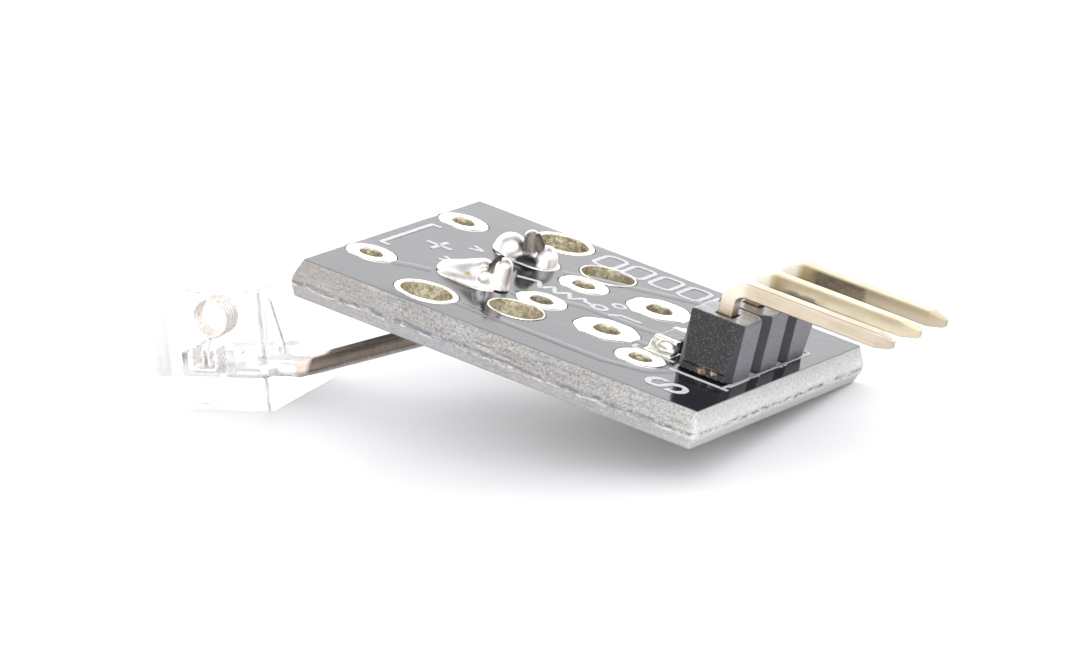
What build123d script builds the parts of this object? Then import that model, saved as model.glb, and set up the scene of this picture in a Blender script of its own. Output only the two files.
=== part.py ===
from build123d import *
import math
import os

# Shock sensor module, lying on a table as it comes to rest: the clear sensor housing lies flat,
# the board leans on the sensor leads, and its right end comes down to the table.
#
# The pieces on the board are drawn in the board's own axes: u along the long edge (left to right),
# v across (front to back), w up from the top face of the board. The housing is drawn in its own
# axes: x to the right, y to the back, z up from the table. Both are then set in the row frame:
# +Z up from the table, +X to the right, origin at the centre of the base of the bounding box.

# ---------------------------------------------------------------- driving dimensions (mm, degrees)
BOARD_L = 18.5            # top face, along u
BOARD_W = 15.3            # top face, along v
BOARD_T = 1.6
SCORE_OUT = 0.30          # how far the broken web stands out of the top edge
SCORE_LOW_OUT = 0.08      # the same for the bottom edge
SCORE_TOP = 0.75          # depth of the upper score
WEB_T = 0.30              # thickness of the web left between the scores

TILT = 18.45              # between the board's normal and the vertical
TILT_TURN = 16.2          # direction of the tilt, turned from the long edge

PAD_T = 0.04              # copper and tin above the board
WALL = 0.05               # plating wall in a hole

CV = 7.80                 # line about which the hole pattern is symmetric (v)
MOUNT_HOLE_R, MOUNT_RING_R = 1.10, 1.36
THIN_HOLE_R, THIN_RING_R = 1.15, 1.22
SMALL_HOLE_R, SMALL_PAD_R = 0.50, 1.08
LINK_HOLE_R, LINK_PAD_AP = 0.58, 1.36
MOUNT_HOLES = [(4.90, CV - 6.08), (4.90, CV + 6.08)]
THIN_HOLES = [(8.10, CV - 4.13), (8.10, CV + 4.13)]
SMALL_PADS = [(1.10, CV - 4.03), (1.10, CV + 4.03), (8.10, CV - 1.90), (8.10, CV + 1.90),
              (13.98, CV - 4.18), (13.98, CV + 4.18)]
LINK_PADS = [(11.47, CV - 2.39), (11.47, CV + 2.39)]

SENSOR_U = 5.70           # the two sensor holes
SENSOR_V = (CV - 2.54, CV + 2.54)
SENSOR_HOLE_R = 0.50
SENSOR_PAD_L, SENSOR_PAD_W = 2.9, 2.0   # oval pads
SENSOR_PAD_U = 5.05       # centre of the ovals
LEAD_R = 0.35

PITCH = 2.54
HEADER_U = 16.54
HEADER_W = 2.50           # insulator across the row
HEADER_H = 2.50
NOTCH_W, NOTCH_D = 1.0, 0.45
PIN = 0.64
PIN_REACH = 7.31          # from the row to the pin tips
PIN_HIGH = 3.80           # pin axis above the board
PIN_BEND = 0.72           # centreline radius
PIN_TAIL = 0.98           # below the underside
HEADER_HOLE_R, HEADER_PAD_R = 0.50, 0.85

RES_U, RES_V = 14.10, 6.42
RES_W, RES_L, RES_H = 1.10, 2.00, 0.50

HOUSE_L, HOUSE_D, HOUSE_H = 5.60, 5.80, 5.75
HOUSE_WALL = 0.90
HOUSE_TOP = 0.90
HOUSE_X, HOUSE_Y = -28.70, -8.95   # front left foot of the housing, from the back right foot of the board
HOUSE_YAW = 2.6
BASE_H = 1.35
LEAD_Z = 1.26             # height at which the leads leave the housing
LEAD_X = (2.60, 3.35)     # their inner ends: the front one meets the clip, the rear one carries the wire
LEAD_KNEE = 0.20          # the bend below the underside of the board
LEAD_Y = (2.20, 3.34)     # where they leave it, from its front face

COIL_R, COIL_WIRE, COIL_TURNS, COIL_PITCH = 0.82, 0.085, 4.5, 0.215
COIL_X, COIL_Y, COIL_Z = 2.45, 1.06, 3.72
CLIP_X, CLIP_Y = 1.95, 1.55
WIRE_R = 0.075

# ---------------------------------------------------------------- frames
th, ph = math.radians(TILT), math.radians(TILT_TURN)
N = Vector(-math.sin(th) * math.cos(ph), -math.sin(th) * math.sin(ph), math.cos(th))
UX = (Vector(1, 0, 0) - N * N.X).normalized()
UY = N.cross(UX)
FOOT = Vector(BOARD_L + SCORE_LOW_OUT, BOARD_W + SCORE_LOW_OUT, -BOARD_T)


def table(u, v, w):
    """a point of the board, seen from the table, with the back right foot at zero"""
    p = Vector(u, v, w) - FOOT
    return Vector(p.dot(UX), p.dot(UY), p.dot(N))


BOARD_FRAME = Plane(origin=table(0, 0, 0),
                    x_dir=Vector(UX.X, UY.X, N.X), z_dir=Vector(UX.Z, UY.Z, N.Z)).location
HOUSE_FRAME = Location((HOUSE_X, HOUSE_Y, 0), (0, 0, HOUSE_YAW))


def house(x, y, z):
    a = math.radians(HOUSE_YAW)
    return Vector(HOUSE_X + x * math.cos(a) - y * math.sin(a), HOUSE_Y + x * math.sin(a) + y * math.cos(a), z)


def cyl(u, v, r, w0, w1):
    return Pos(u, v, (w0 + w1) / 2) * Cylinder(r, w1 - w0)


def block(u0, u1, v0, v1, w0, w1):
    return Pos((u0 + u1) / 2, (v0 + v1) / 2, (w0 + w1) / 2) * Box(u1 - u0, v1 - v0, w1 - w0)


def rect_at(cu, cv, lu, lv, w):
    return Pos(cu, cv, w) * Rectangle(lu, lv)


# ---------------------------------------------------------------- the board
cu, cv = BOARD_L / 2, BOARD_W / 2
w1, w2 = -SCORE_TOP, -SCORE_TOP - WEB_T
top_rect = rect_at(cu, cv, BOARD_L, BOARD_W, 0)
web_top = rect_at(cu, cv, BOARD_L + 2 * SCORE_OUT, BOARD_W + 2 * SCORE_OUT, w1)
web_low = rect_at(cu, cv, BOARD_L + 2 * SCORE_OUT, BOARD_W + 2 * SCORE_OUT, w2)
low_rect = rect_at(cu, cv, BOARD_L + 2 * SCORE_LOW_OUT, BOARD_W + 2 * SCORE_LOW_OUT, -BOARD_T)
board = (loft([web_top.face(), top_rect.face()], ruled=True)
         + block(-SCORE_OUT, BOARD_L + SCORE_OUT, -SCORE_OUT, BOARD_W + SCORE_OUT, w2, w1)
         + loft([low_rect.face(), web_low.face()], ruled=True))

holes = [(u, v, MOUNT_HOLE_R) for u, v in MOUNT_HOLES] + [(u, v, THIN_HOLE_R) for u, v in THIN_HOLES]
holes += [(u, v, SMALL_HOLE_R) for u, v in SMALL_PADS] + [(u, v, LINK_HOLE_R) for u, v in LINK_PADS]
holes += [(SENSOR_U, v, SENSOR_HOLE_R) for v in SENSOR_V]
holes += [(HEADER_U, CV + k * PITCH, HEADER_HOLE_R) for k in (-1, 0, 1)]
for u, v, r in holes:
    board -= cyl(u, v, r + WALL, -BOARD_T - 1, 1)


def eyelet(u, v, hole_r, ring, low_ring=None):
    """plated hole: a thin wall through the board, with a land on each face"""
    low_ring = low_ring or ring
    body = cyl(u, v, hole_r + WALL, -BOARD_T, 0)
    body += Pos(0, 0, 0) * extrude(ring, PAD_T)
    body += Pos(0, 0, -BOARD_T - PAD_T) * extrude(low_ring, PAD_T)
    return body - cyl(u, v, hole_r, -BOARD_T - 1, 1)


def round_land(u, v, r):
    return Pos(u, v, 0) * Circle(r)


def eight_land(u, v, ap):
    return Pos(u, v, 0) * RegularPolygon(ap, 8, major_radius=False, rotation=22.5)


def oval_land(u, v, length, width):
    return Pos(u, v, 0) * SlotOverall(length, width)


large_holes = [eyelet(u, v, MOUNT_HOLE_R, round_land(u, v, MOUNT_RING_R)) for u, v in MOUNT_HOLES]
large_holes += [eyelet(u, v, THIN_HOLE_R, round_land(u, v, THIN_RING_R)) for u, v in THIN_HOLES]
small_holes = []
for u, v in SMALL_PADS:
    e = eyelet(u, v, SMALL_HOLE_R, round_land(u, v, SMALL_PAD_R))
    for tu, tv in THIN_HOLES:            # the pad beside a thin ring is trimmed back from it
        if math.hypot(u - tu, v - tv) < THIN_RING_R + SMALL_PAD_R + 0.05:
            e -= cyl(tu, tv, THIN_RING_R + 0.02, -BOARD_T - 1, 1)
    small_holes.append(e)
link_holes = [eyelet(u, v, LINK_HOLE_R, eight_land(u, v, LINK_PAD_AP)) for u, v in LINK_PADS]
sensor_holes = [eyelet(SENSOR_U, v, SENSOR_HOLE_R, oval_land(SENSOR_PAD_U, v, SENSOR_PAD_L, SENSOR_PAD_W))
                for v in SENSOR_V]
header_holes = [eyelet(HEADER_U, CV + k * PITCH, HEADER_HOLE_R, round_land(HEADER_U, CV + k * PITCH, HEADER_PAD_R))
                for k in (-1, 0, 1)]

# ---------------------------------------------------------------- chip resistor
RES_PAD_L = 1.0
res_pads = [block(RES_U - 0.66, RES_U + 0.66, RES_V + s * 1.05 - RES_PAD_L / 2, RES_V + s * 1.05 + RES_PAD_L / 2, 0, PAD_T)
            for s in (-1, 1)]
CAP_T, CAP_L = 0.03, 0.36
rw0 = PAD_T + CAP_T
res_body = block(RES_U - RES_W / 2 + CAP_T, RES_U + RES_W / 2 - CAP_T,
                 RES_V - RES_L / 2 + CAP_T, RES_V + RES_L / 2 - CAP_T, rw0, PAD_T + RES_H - CAP_T)
res_caps, res_solder = [], []
for s in (-1, 1):
    ve = RES_V + s * RES_L / 2
    va, vb = sorted((ve, ve - s * CAP_L))
    cap = block(RES_U - RES_W / 2, RES_U + RES_W / 2, va, vb, PAD_T, PAD_T + RES_H)
    cap = fillet(cap.edges().filter_by(Axis.X).sort_by(Axis.Y)[-2:] if s > 0
                 else cap.edges().filter_by(Axis.X).sort_by(Axis.Y)[:2], 0.06)
    res_caps.append(cap - res_body)
    # hollow fillet of solder from the land up the end of the chip
    vf = ve + s * 0.50
    with BuildPart() as f:
        with BuildSketch(Plane.YZ.offset(RES_U - 0.58)):
            with BuildLine():
                Line((ve - s * 0.08, PAD_T), (vf, PAD_T))
                ThreePointArc((vf, PAD_T), (ve + s * 0.15, PAD_T + 0.13), (ve, PAD_T + 0.40))
                Line((ve, PAD_T + 0.40), (ve - s * 0.08, PAD_T + 0.40))
                Line((ve - s * 0.08, PAD_T + 0.40), (ve - s * 0.08, PAD_T))
            make_face()
        extrude(amount=1.16)
    blob = f.part
    blob -= block(RES_U - RES_W / 2, RES_U + RES_W / 2, RES_V - RES_L / 2, RES_V + RES_L / 2, PAD_T, 1) - \
        (block(RES_U - RES_W / 2, RES_U + RES_W / 2, va, vb, PAD_T, 1) - cap)
    blob -= cap
    blob = max(blob.solids(), key=lambda q: q.volume)
    res_solder.append(blob)

# ---------------------------------------------------------------- header
hv0, hv1 = CV - 1.5 * PITCH, CV + 1.5 * PITCH
hu0, hu1 = HEADER_U - HEADER_W / 2, HEADER_U + HEADER_W / 2
hw0, hw1 = PAD_T, PAD_T + HEADER_H
insulator = block(hu0, hu1, hv0, hv1, hw0, hw1)
# the front end was snapped off at a slant, and half of the notch is left at its corners
slant = make_face(Polyline((hv0 - 0.2, hw0 - 0.1), (hv0 + 0.03, hw0 - 0.1), (hv0 + 0.46, hw1 + 0.1), (hv0 - 0.2, hw1 + 0.1), close=True))
insulator -= extrude(Plane.YZ.offset(hu0 - 0.5).location * slant, HEADER_W + 1)
for k in (-1.5, -0.5, 0.5):
    v = CV + k * PITCH
    for side, ue in ((-1, hu0), (1, hu1)):
        tri = Pos(0, 0, hw0 - 0.1) * extrude(
            make_face(Polyline((ue + side * 0.1, v - NOTCH_W / 2 * (1 + 0.1 / NOTCH_D)), (ue - side * NOTCH_D, v),
                               (ue + side * 0.1, v + NOTCH_W / 2 * (1 + 0.1 / NOTCH_D)), close=True)), HEADER_H + 0.2)
        insulator -= tri
    if k < -1:
        continue
    # shallow groove across the top and the underside between two blocks
    for wz, sg in ((hw1, -1), (hw0, 1)):
        g = make_face(Polyline((v - 0.16, wz - sg * 0.02), (v, wz + sg * 0.13), (v + 0.16, wz - sg * 0.02), close=True))
        g = Plane.YZ.offset(hu0 - 0.5).location * g
        insulator -= extrude(g, HEADER_W + 1)


def header_pin(v):
    """square wire: tail, straight up through the strip, one bend, then out over the end of the board"""
    w_low = -BOARD_T - PIN_TAIL
    path = FilletPolyline((HEADER_U, v, w_low + 0.25), (HEADER_U, v, PIN_HIGH),
                          (HEADER_U + PIN_REACH - 0.7, v, PIN_HIGH), radius=PIN_BEND)
    body = sweep(Plane(origin=(HEADER_U, v, w_low + 0.25), z_dir=(0, 0, 1)) * Rectangle(PIN, PIN), path)
    # both ends are swaged to a blunt point
    tip = loft([(Plane(origin=(HEADER_U + PIN_REACH - 0.7, v, PIN_HIGH), x_dir=(0, 1, 0), z_dir=(1, 0, 0)) * Rectangle(PIN, PIN)).face(),
                (Plane(origin=(HEADER_U + PIN_REACH, v, PIN_HIGH), x_dir=(0, 1, 0), z_dir=(1, 0, 0)) * Rectangle(0.34, 0.34)).face()], ruled=True)
    tail = loft([(Pos(HEADER_U, v, w_low) * Rectangle(0.36, 0.36)).face(),
                 (Pos(HEADER_U, v, w_low + 0.25) * Rectangle(PIN, PIN)).face()], ruled=True)
    return body + tip + tail


pins = [header_pin(CV + k * PITCH) for k in (-1, 0, 1)]
for p in pins:
    insulator -= p

header_solder = []
for k, p in zip((-1, 0, 1), pins):
    v = CV + k * PITCH
    under = -BOARD_T - PAD_T
    cone = Pos(HEADER_U, v, under - 0.26) * Cone(0.36, 0.80, 0.52)
    j = cone + cyl(HEADER_U, v, HEADER_HOLE_R, under, 0)
    header_solder.append(j - p)

# ---------------------------------------------------------------- sensor leads (drawn on the table)
leads = []
LEAD_TOP = [(6.22, SENSOR_V[0] + 0.10, 1.28), (5.52, SENSOR_V[1] - 0.08, 1.22)]
for x, y, v, top in zip(LEAD_X, LEAD_Y, SENSOR_V, LEAD_TOP):
    pts = [house(x, y, LEAD_Z), house(HOUSE_L + 0.35, y, LEAD_Z), table(SENSOR_U, v, -BOARD_T - LEAD_KNEE),
           table(SENSOR_U, v, 0.30), table(*top)]
    d = (pts[1] - pts[0]).normalized()
    path = FilletPolyline(*pts, radius=[0.45, 0.40, 0.45])
    sec = Plane(origin=pts[0], z_dir=d) * Circle(LEAD_R)
    leads.append(sweep(sec, path))
    print("lead volume over section times length:", round(leads[-1].volume / (math.pi * LEAD_R ** 2 * path.length), 4))

# ---------------------------------------------------------------- solder cones of the sensor leads (board axes)
to_board = BOARD_FRAME.inverse()
sensor_solder = []
shapes = [  # height, centre along u, half length, half width
    [(PAD_T, 5.07, 1.42, 0.96), (0.34, 5.26, 1.27, 0.87), (0.68, 5.56, 0.99, 0.70), (0.98, 5.88, 0.65, 0.52), (1.18, 6.06, 0.45, 0.43)],
    [(PAD_T, 5.05, 1.42, 0.95), (0.34, 5.07, 1.24, 0.86), (0.66, 5.17, 0.97, 0.70), (0.92, 5.31, 0.67, 0.54), (1.10, 5.42, 0.47, 0.45)],
]
for v, rows, lead in zip(SENSOR_V, shapes, leads):
    faces = [(Pos(u, v, w) * Ellipse(a, b)).face() for w, u, a, b in rows]
    s = loft(faces)
    s += cyl(SENSOR_U, v, SENSOR_HOLE_R, -BOARD_T - PAD_T, PAD_T + 0.02)
    sensor_solder.append(s - lead.moved(to_board))

# ---------------------------------------------------------------- sensor housing (its own axes)
cover = block(0, HOUSE_L, 0, HOUSE_D, 0, HOUSE_H)
cover = fillet(cover.edges().filter_by(Axis.Z), 0.32)
cover = fillet(cover.faces().sort_by(Axis.Z)[-1].edges(), 0.18)
cavity = block(HOUSE_WALL, HOUSE_L - HOUSE_WALL, HOUSE_WALL, HOUSE_D - HOUSE_WALL, -0.1, HOUSE_H - HOUSE_TOP)
cavity = fillet(cavity.edges().filter_by(Axis.Z), 0.15)
cover -= cavity

base = block(HOUSE_WALL, HOUSE_L - HOUSE_WALL, HOUSE_WALL, HOUSE_D - HOUSE_WALL, 0.0, BASE_H)
base = fillet(base.edges().filter_by(Axis.Z), 0.15)
# low rails, a shoulder at the left and two posts at the right carry the clip and the wire
base += block(HOUSE_WALL + 0.02, HOUSE_WALL + 0.32, 1.00, 4.70, BASE_H - 0.05, 2.20)
base += block(3.10, 3.50, 1.05, 2.05, BASE_H - 0.05, 2.35)
base += block(4.02, HOUSE_L - HOUSE_WALL - 0.02, 3.30, 4.30, BASE_H - 0.05, 1.90)
base += block(1.35, 3.30, 3.05, 4.55, BASE_H - 0.05, 1.75)

# clip: a folded strip that grips the tail of the coil, against the end of the front lead
ct = 0.14
clip = block(CLIP_X - 0.65, CLIP_X + 0.65, CLIP_Y - 0.45, CLIP_Y + 0.45, BASE_H, BASE_H + ct)
clip += block(CLIP_X - 0.65, CLIP_X - 0.65 + ct, CLIP_Y - 0.45, CLIP_Y + 0.45, BASE_H, BASE_H + 1.05)
clip += block(CLIP_X + 0.65 - ct, CLIP_X + 0.65, CLIP_Y - 0.45, CLIP_Y + 0.45, BASE_H, BASE_H + 1.05)
clip += block(CLIP_X - 0.22, CLIP_X - 0.22 + 0.10, CLIP_Y - 0.25, CLIP_Y + 0.25, BASE_H + ct, BASE_H + 0.85)
clip += block(CLIP_X + 0.12, CLIP_X + 0.22, CLIP_Y - 0.25, CLIP_Y + 0.25, BASE_H + ct, BASE_H + 0.85)

# coil: close turns of fine wire, axis front to back, with a straight tail down into the clip
coil_pts = []
for i in range(int(COIL_TURNS * 24) + 1):
    q = 2 * math.pi * i / 24
    coil_pts.append(Vector(COIL_X + COIL_R * math.sin(q), COIL_Y + COIL_PITCH * i / 24, COIL_Z + COIL_R * math.cos(q)))
coil_pts += [Vector(COIL_X - 0.22, 2.02, COIL_Z - COIL_R + 0.02), Vector(COIL_X - 0.33, 1.90, COIL_Z - COIL_R - 0.09),
             Vector(CLIP_X + 0.06, 1.70, COIL_Z - COIL_R - 0.28), Vector(CLIP_X, CLIP_Y, COIL_Z - COIL_R - 0.58),
             Vector(CLIP_X, CLIP_Y, 2.00), Vector(CLIP_X, CLIP_Y, 1.75), Vector(CLIP_X, CLIP_Y, BASE_H + ct)]
coil_path = Spline(*coil_pts)
coil = sweep(Plane(origin=coil_path @ 0, z_dir=coil_path % 0) * Circle(COIL_WIRE), coil_path)
print("coil volume over section times length:", round(coil.volume / (math.pi * COIL_WIRE ** 2 * coil_path.length), 4))

# contact wire: from the inner end of the rear lead, up the right side, then over to the middle of the coil
wp = [Vector(4.16, LEAD_Y[1] + 0.12, LEAD_Z + 0.10), Vector(4.13, 3.60, 1.95), Vector(3.98, 2.95, 4.15),
      Vector(COIL_X + 0.10, 2.85, 4.15), Vector(COIL_X, 2.80, 3.74), Vector(COIL_X, 1.12, 3.74)]
wire_path = FilletPolyline(*wp, radius=[0.30, 0.25, 0.20, 0.20])
wire = sweep(Plane(origin=wp[0], z_dir=(wp[1] - wp[0]).normalized()) * Circle(WIRE_R), wire_path)

house_leads = [ld.moved(HOUSE_FRAME.inverse()) for ld in leads]
for ld in house_leads:
    cover -= ld
    base -= ld
    clip -= ld
    wire -= ld
base -= wire
base -= clip
base -= coil
clip -= coil
base = max(base.solids(), key=lambda q: q.volume)
wire = max(wire.solids(), key=lambda q: q.volume)
clip = max(clip.solids(), key=lambda q: q.volume)

# ---------------------------------------------------------------- set in the row frame and write
on_board = {
    "printed_board": [board],
    "large_plated_holes": large_holes,
    "small_plated_holes": small_holes,
    "link_pads": link_holes,
    "sensor_pads": sensor_holes,
    "header_pads": header_holes,
    "resistor_pads": res_pads,
    "resistor_body": [res_body],
    "resistor_end_caps": res_caps,
    "resistor_solder_joints": res_solder,
    "header_insulator": [insulator],
    "signal_pin": [pins[0]],
    "supply_pin": [pins[1]],
    "ground_pin": [pins[2]],
    "header_solder_joints": header_solder,
    "front_solder_joint": [sensor_solder[0]],
    "rear_solder_joint": [sensor_solder[1]],
}
in_house = {
    "sensor_cover": [cover],
    "sensor_base": [base],
    "sensor_spring": [coil],
    "spring_clip": [clip],
    "contact_wire": [wire],
}
on_table = {"front_sensor_lead": [leads[0]], "rear_sensor_lead": [leads[1]]}

nodes = {}
for name, parts in on_board.items():
    nodes[name] = [s.moved(BOARD_FRAME) for p in parts for s in p.solids()]
for name, parts in in_house.items():
    nodes[name] = [s.moved(HOUSE_FRAME) for p in parts for s in p.solids()]
for name, parts in on_table.items():
    nodes[name] = [s for p in parts for s in p.solids()]

bb = Compound(children=[s.moved(Location((0, 0, 0))) for ss in nodes.values() for s in ss]).bounding_box()
SHIFT = Location((-(bb.min.X + bb.max.X) / 2, -(bb.min.Y + bb.max.Y) / 2, -bb.min.Z))
ROW = {}
for name, ss in nodes.items():
    ss = [s.moved(SHIFT) for s in ss]
    shape = ss[0] if len(ss) == 1 else Compound(children=ss)
    shape.label = name
    ROW[name] = shape
    export_step(shape, "parts/" + name + ".step")

print("overall", [round(bb.max.X - bb.min.X, 3), round(bb.max.Y - bb.min.Y, 3), round(bb.max.Z - bb.min.Z, 3)])
print("lowest of all before the shift", round(bb.min.Z, 4), "tail feet", [round(table(HEADER_U, CV + k * PITCH, -BOARD_T - PIN_TAIL).Z, 3) for k in (-1, 0, 1)])
sh = SHIFT.position


def row_point(u, v, w):
    return tuple(round(c, 4) for c in (table(u, v, w) + sh))


for i, (u, v) in enumerate(MOUNT_HOLES):
    print("mount hole", i, row_point(u, v, -BOARD_T / 2))
print("board normal", round(UX.Z, 6), round(UY.Z, 6), round(N.Z, 6), "u", round(UX.X, 6), round(UY.X, 6), round(N.X, 6), "v", round(UX.Y, 6), round(UY.Y, 6), round(N.Y, 6))
print("board origin", row_point(0, 0, 0))
hb = house(HOUSE_L / 2, HOUSE_D / 2, 0) + sh
print("housing foot centre", round(hb.X, 4), round(hb.Y, 4), round(hb.Z, 4), "housing corner", [round(c, 4) for c in (house(0, 0, 0) + sh)])
for k in (-1, 0, 1):
    print("pin tip", row_point(HEADER_U + PIN_REACH, CV + k * PITCH, PIN_HIGH))
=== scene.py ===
import math

import bpy
import numpy as np
from mathutils import Matrix, Vector
from mathutils.geometry import delaunay_2d_cdt


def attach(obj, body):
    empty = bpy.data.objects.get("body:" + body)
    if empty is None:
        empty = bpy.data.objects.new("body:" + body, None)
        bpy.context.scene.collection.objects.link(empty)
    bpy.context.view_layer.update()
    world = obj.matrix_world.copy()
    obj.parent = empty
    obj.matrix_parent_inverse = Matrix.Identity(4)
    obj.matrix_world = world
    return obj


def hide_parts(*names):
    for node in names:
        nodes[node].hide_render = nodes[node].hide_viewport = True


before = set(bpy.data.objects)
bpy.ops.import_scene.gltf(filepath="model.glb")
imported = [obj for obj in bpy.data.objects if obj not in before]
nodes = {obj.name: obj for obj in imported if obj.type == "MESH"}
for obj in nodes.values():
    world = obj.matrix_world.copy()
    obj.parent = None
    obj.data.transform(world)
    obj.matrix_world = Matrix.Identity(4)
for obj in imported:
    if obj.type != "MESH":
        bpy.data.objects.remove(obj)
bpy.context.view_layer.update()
scene = bpy.context.scene

# ================================================================ frames
# board axes in the row frame: u along the long edge, v front to back, w out of the top face
U = np.array((0.9527, 0.0, -0.303911))
V = np.array((-0.028166, 0.995696, -0.088294))
W = np.array((0.302603, 0.092678, 0.9486))
U /= np.linalg.norm(U)
W = W - U * (W @ U)
W /= np.linalg.norm(W)
V = np.cross(W, U)
O = np.array((-5.8074, -7.5337, 8.5224))
HC = np.array((-17.7236, -1.3181, 0.0))      # front left foot of the housing
YAW = math.radians(2.6)


def to_matrix(x, y, z, o):
    m = Matrix.Identity(4)
    for i in range(3):
        m[i][0], m[i][1], m[i][2], m[i][3] = float(x[i]), float(y[i]), float(z[i]), float(o[i]) * 0.001
    return m


BOARD = to_matrix(U, V, W, O)
HX = np.array((math.cos(YAW), math.sin(YAW), 0.0))
HY = np.array((-math.sin(YAW), math.cos(YAW), 0.0))
HOUSE = to_matrix(HX, HY, (0, 0, 1), HC)
ROWM = Matrix.Identity(4)


def board_pt(u, v, w):
    return O + U * u + V * v + W * w


def house_pt(x, y, z):
    return HC + HX * x + HY * y + np.array((0, 0, z))


# ================================================================ numbers shared with the CAD
L, B, T = 18.5, 15.3, 1.6
CV = 7.8
MOUNT = [(4.90, CV - 6.08), (4.90, CV + 6.08)]
THIN = [(8.10, CV - 4.13), (8.10, CV + 4.13)]
SMALL = [(1.10, CV - 4.03), (1.10, CV + 4.03), (8.10, CV - 1.90), (8.10, CV + 1.90), (13.98, CV - 4.18), (13.98, CV + 4.18)]
LINK = [(11.47, CV - 2.39), (11.47, CV + 2.39)]
SENSOR_U, SENSOR_V = 5.70, (CV - 2.54, CV + 2.54)
HU, PITCH = 16.54, 2.54
RES_U, RES_V = 14.10, 6.42

# ================================================================ small tools


def hash3(i, j, k, seed):
    i, j, k = (a.astype(np.int64) for a in (i, j, k))
    h = (i * 374761393 + j * 668265263 + k * 2147483647 + seed * 974711) & 0xFFFFFFFF
    h = ((h ^ (h >> 13)) * 1274126177) & 0xFFFFFFFF
    h = ((h ^ (h >> 16)) * 2246822519) & 0xFFFFFFFF
    return ((h ^ (h >> 15)) & 0xFFFFFF) / float(0xFFFFFF) * 2 - 1


def noise(x, y, z, seed=1):
    """smooth value noise, -1 to 1, the same on every run"""
    x, y, z = np.broadcast_arrays(np.asarray(x, float), np.asarray(y, float), np.asarray(z, float))
    xi, yi, zi = np.floor(x), np.floor(y), np.floor(z)
    fx, fy, fz = x - xi, y - yi, z - zi
    fx, fy, fz = (f * f * (3 - 2 * f) for f in (fx, fy, fz))
    out = 0
    for a in (0, 1):
        for b in (0, 1):
            for c in (0, 1):
                wgt = (fx if a else 1 - fx) * (fy if b else 1 - fy) * (fz if c else 1 - fz)
                out = out + wgt * hash3(xi + a, yi + b, zi + c, seed)
    return out


def fbm(x, y, z, seed=1, octaves=3):
    s, amp, tot = 0, 1.0, 0
    for o in range(octaves):
        s = s + amp * noise(np.asarray(x) * 2 ** o, np.asarray(y) * 2 ** o, np.asarray(z) * 2 ** o, seed + o * 17)
        tot += amp
        amp *= 0.5
    return s / tot


def smoothstep(a, b, x):
    t = np.clip((np.asarray(x, float) - a) / (b - a), 0, 1)
    return t * t * (3 - 2 * t)


def make(name, verts, faces, mats, matrix=ROWM, smooth=True, angle=40, index=None):
    """verts in mm in the axes of matrix (board, housing or row); the mesh itself is kept in the row frame"""
    me = bpy.data.meshes.new(name)
    mat = np.array(matrix)
    co = np.asarray(verts, float) * 0.001 @ mat[:3, :3].T + mat[:3, 3]
    me.from_pydata(co.tolist(), [], [list(map(int, f)) for f in faces])
    me.validate()
    for m in mats:
        me.materials.append(m)
    if index is not None:
        me.polygons.foreach_set("material_index", np.asarray(index, np.int32))
    me.update()
    if smooth:
        me.polygons.foreach_set("use_smooth", np.ones(len(me.polygons), bool))
        me.set_sharp_from_angle(angle=math.radians(angle))
    ob = bpy.data.objects.new(name, me)
    scene.collection.objects.link(ob)
    return ob


class Mesh:
    """collects vertices and faces of several shapes into one piece"""

    def __init__(self):
        self.v, self.f, self.i, self.n = [], [], [], 0

    def add(self, verts, faces, idx=0):
        verts = np.asarray(verts, float).reshape(-1, 3)
        self.v.append(verts)
        self.f += [[a + self.n for a in f] for f in faces]
        self.i += [idx] * len(faces)
        self.n += len(verts)
        return self.n - len(verts)

    def rings(self, rings, idx=0, closed=True, caps=(False, False), flip=False):
        """skins rows of points; closed joins the last point of a row to its first"""
        rings = [np.asarray(r, float) for r in rings]
        n = len(rings[0])
        faces, index = [], []
        m = n if closed else n - 1
        for k in range(len(rings) - 1):
            for a in range(m):
                b = (a + 1) % n
                q = [k * n + a, k * n + b, (k + 1) * n + b, (k + 1) * n + a]
                faces.append(q[::-1] if flip else q)
                index.append(idx[k] if isinstance(idx, (list, tuple)) else idx)
        if caps[0]:
            q = list(range(n))[::-1]
            faces.append(q[::-1] if flip else q)
            index.append(idx[0] if isinstance(idx, (list, tuple)) else idx)
        if caps[1]:
            q = [(len(rings) - 1) * n + a for a in range(n)]
            faces.append(q[::-1] if flip else q)
            index.append(idx[-1] if isinstance(idx, (list, tuple)) else idx)
        base = self.n
        self.v.append(np.concatenate(rings))
        self.f += [[a + base for a in f] for f in faces]
        self.i += index
        self.n += len(rings) * n

    def build(self, name, mats, matrix=ROWM, **kw):
        return make(name, np.concatenate(self.v), self.f, mats, matrix, index=self.i, **kw)


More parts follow.
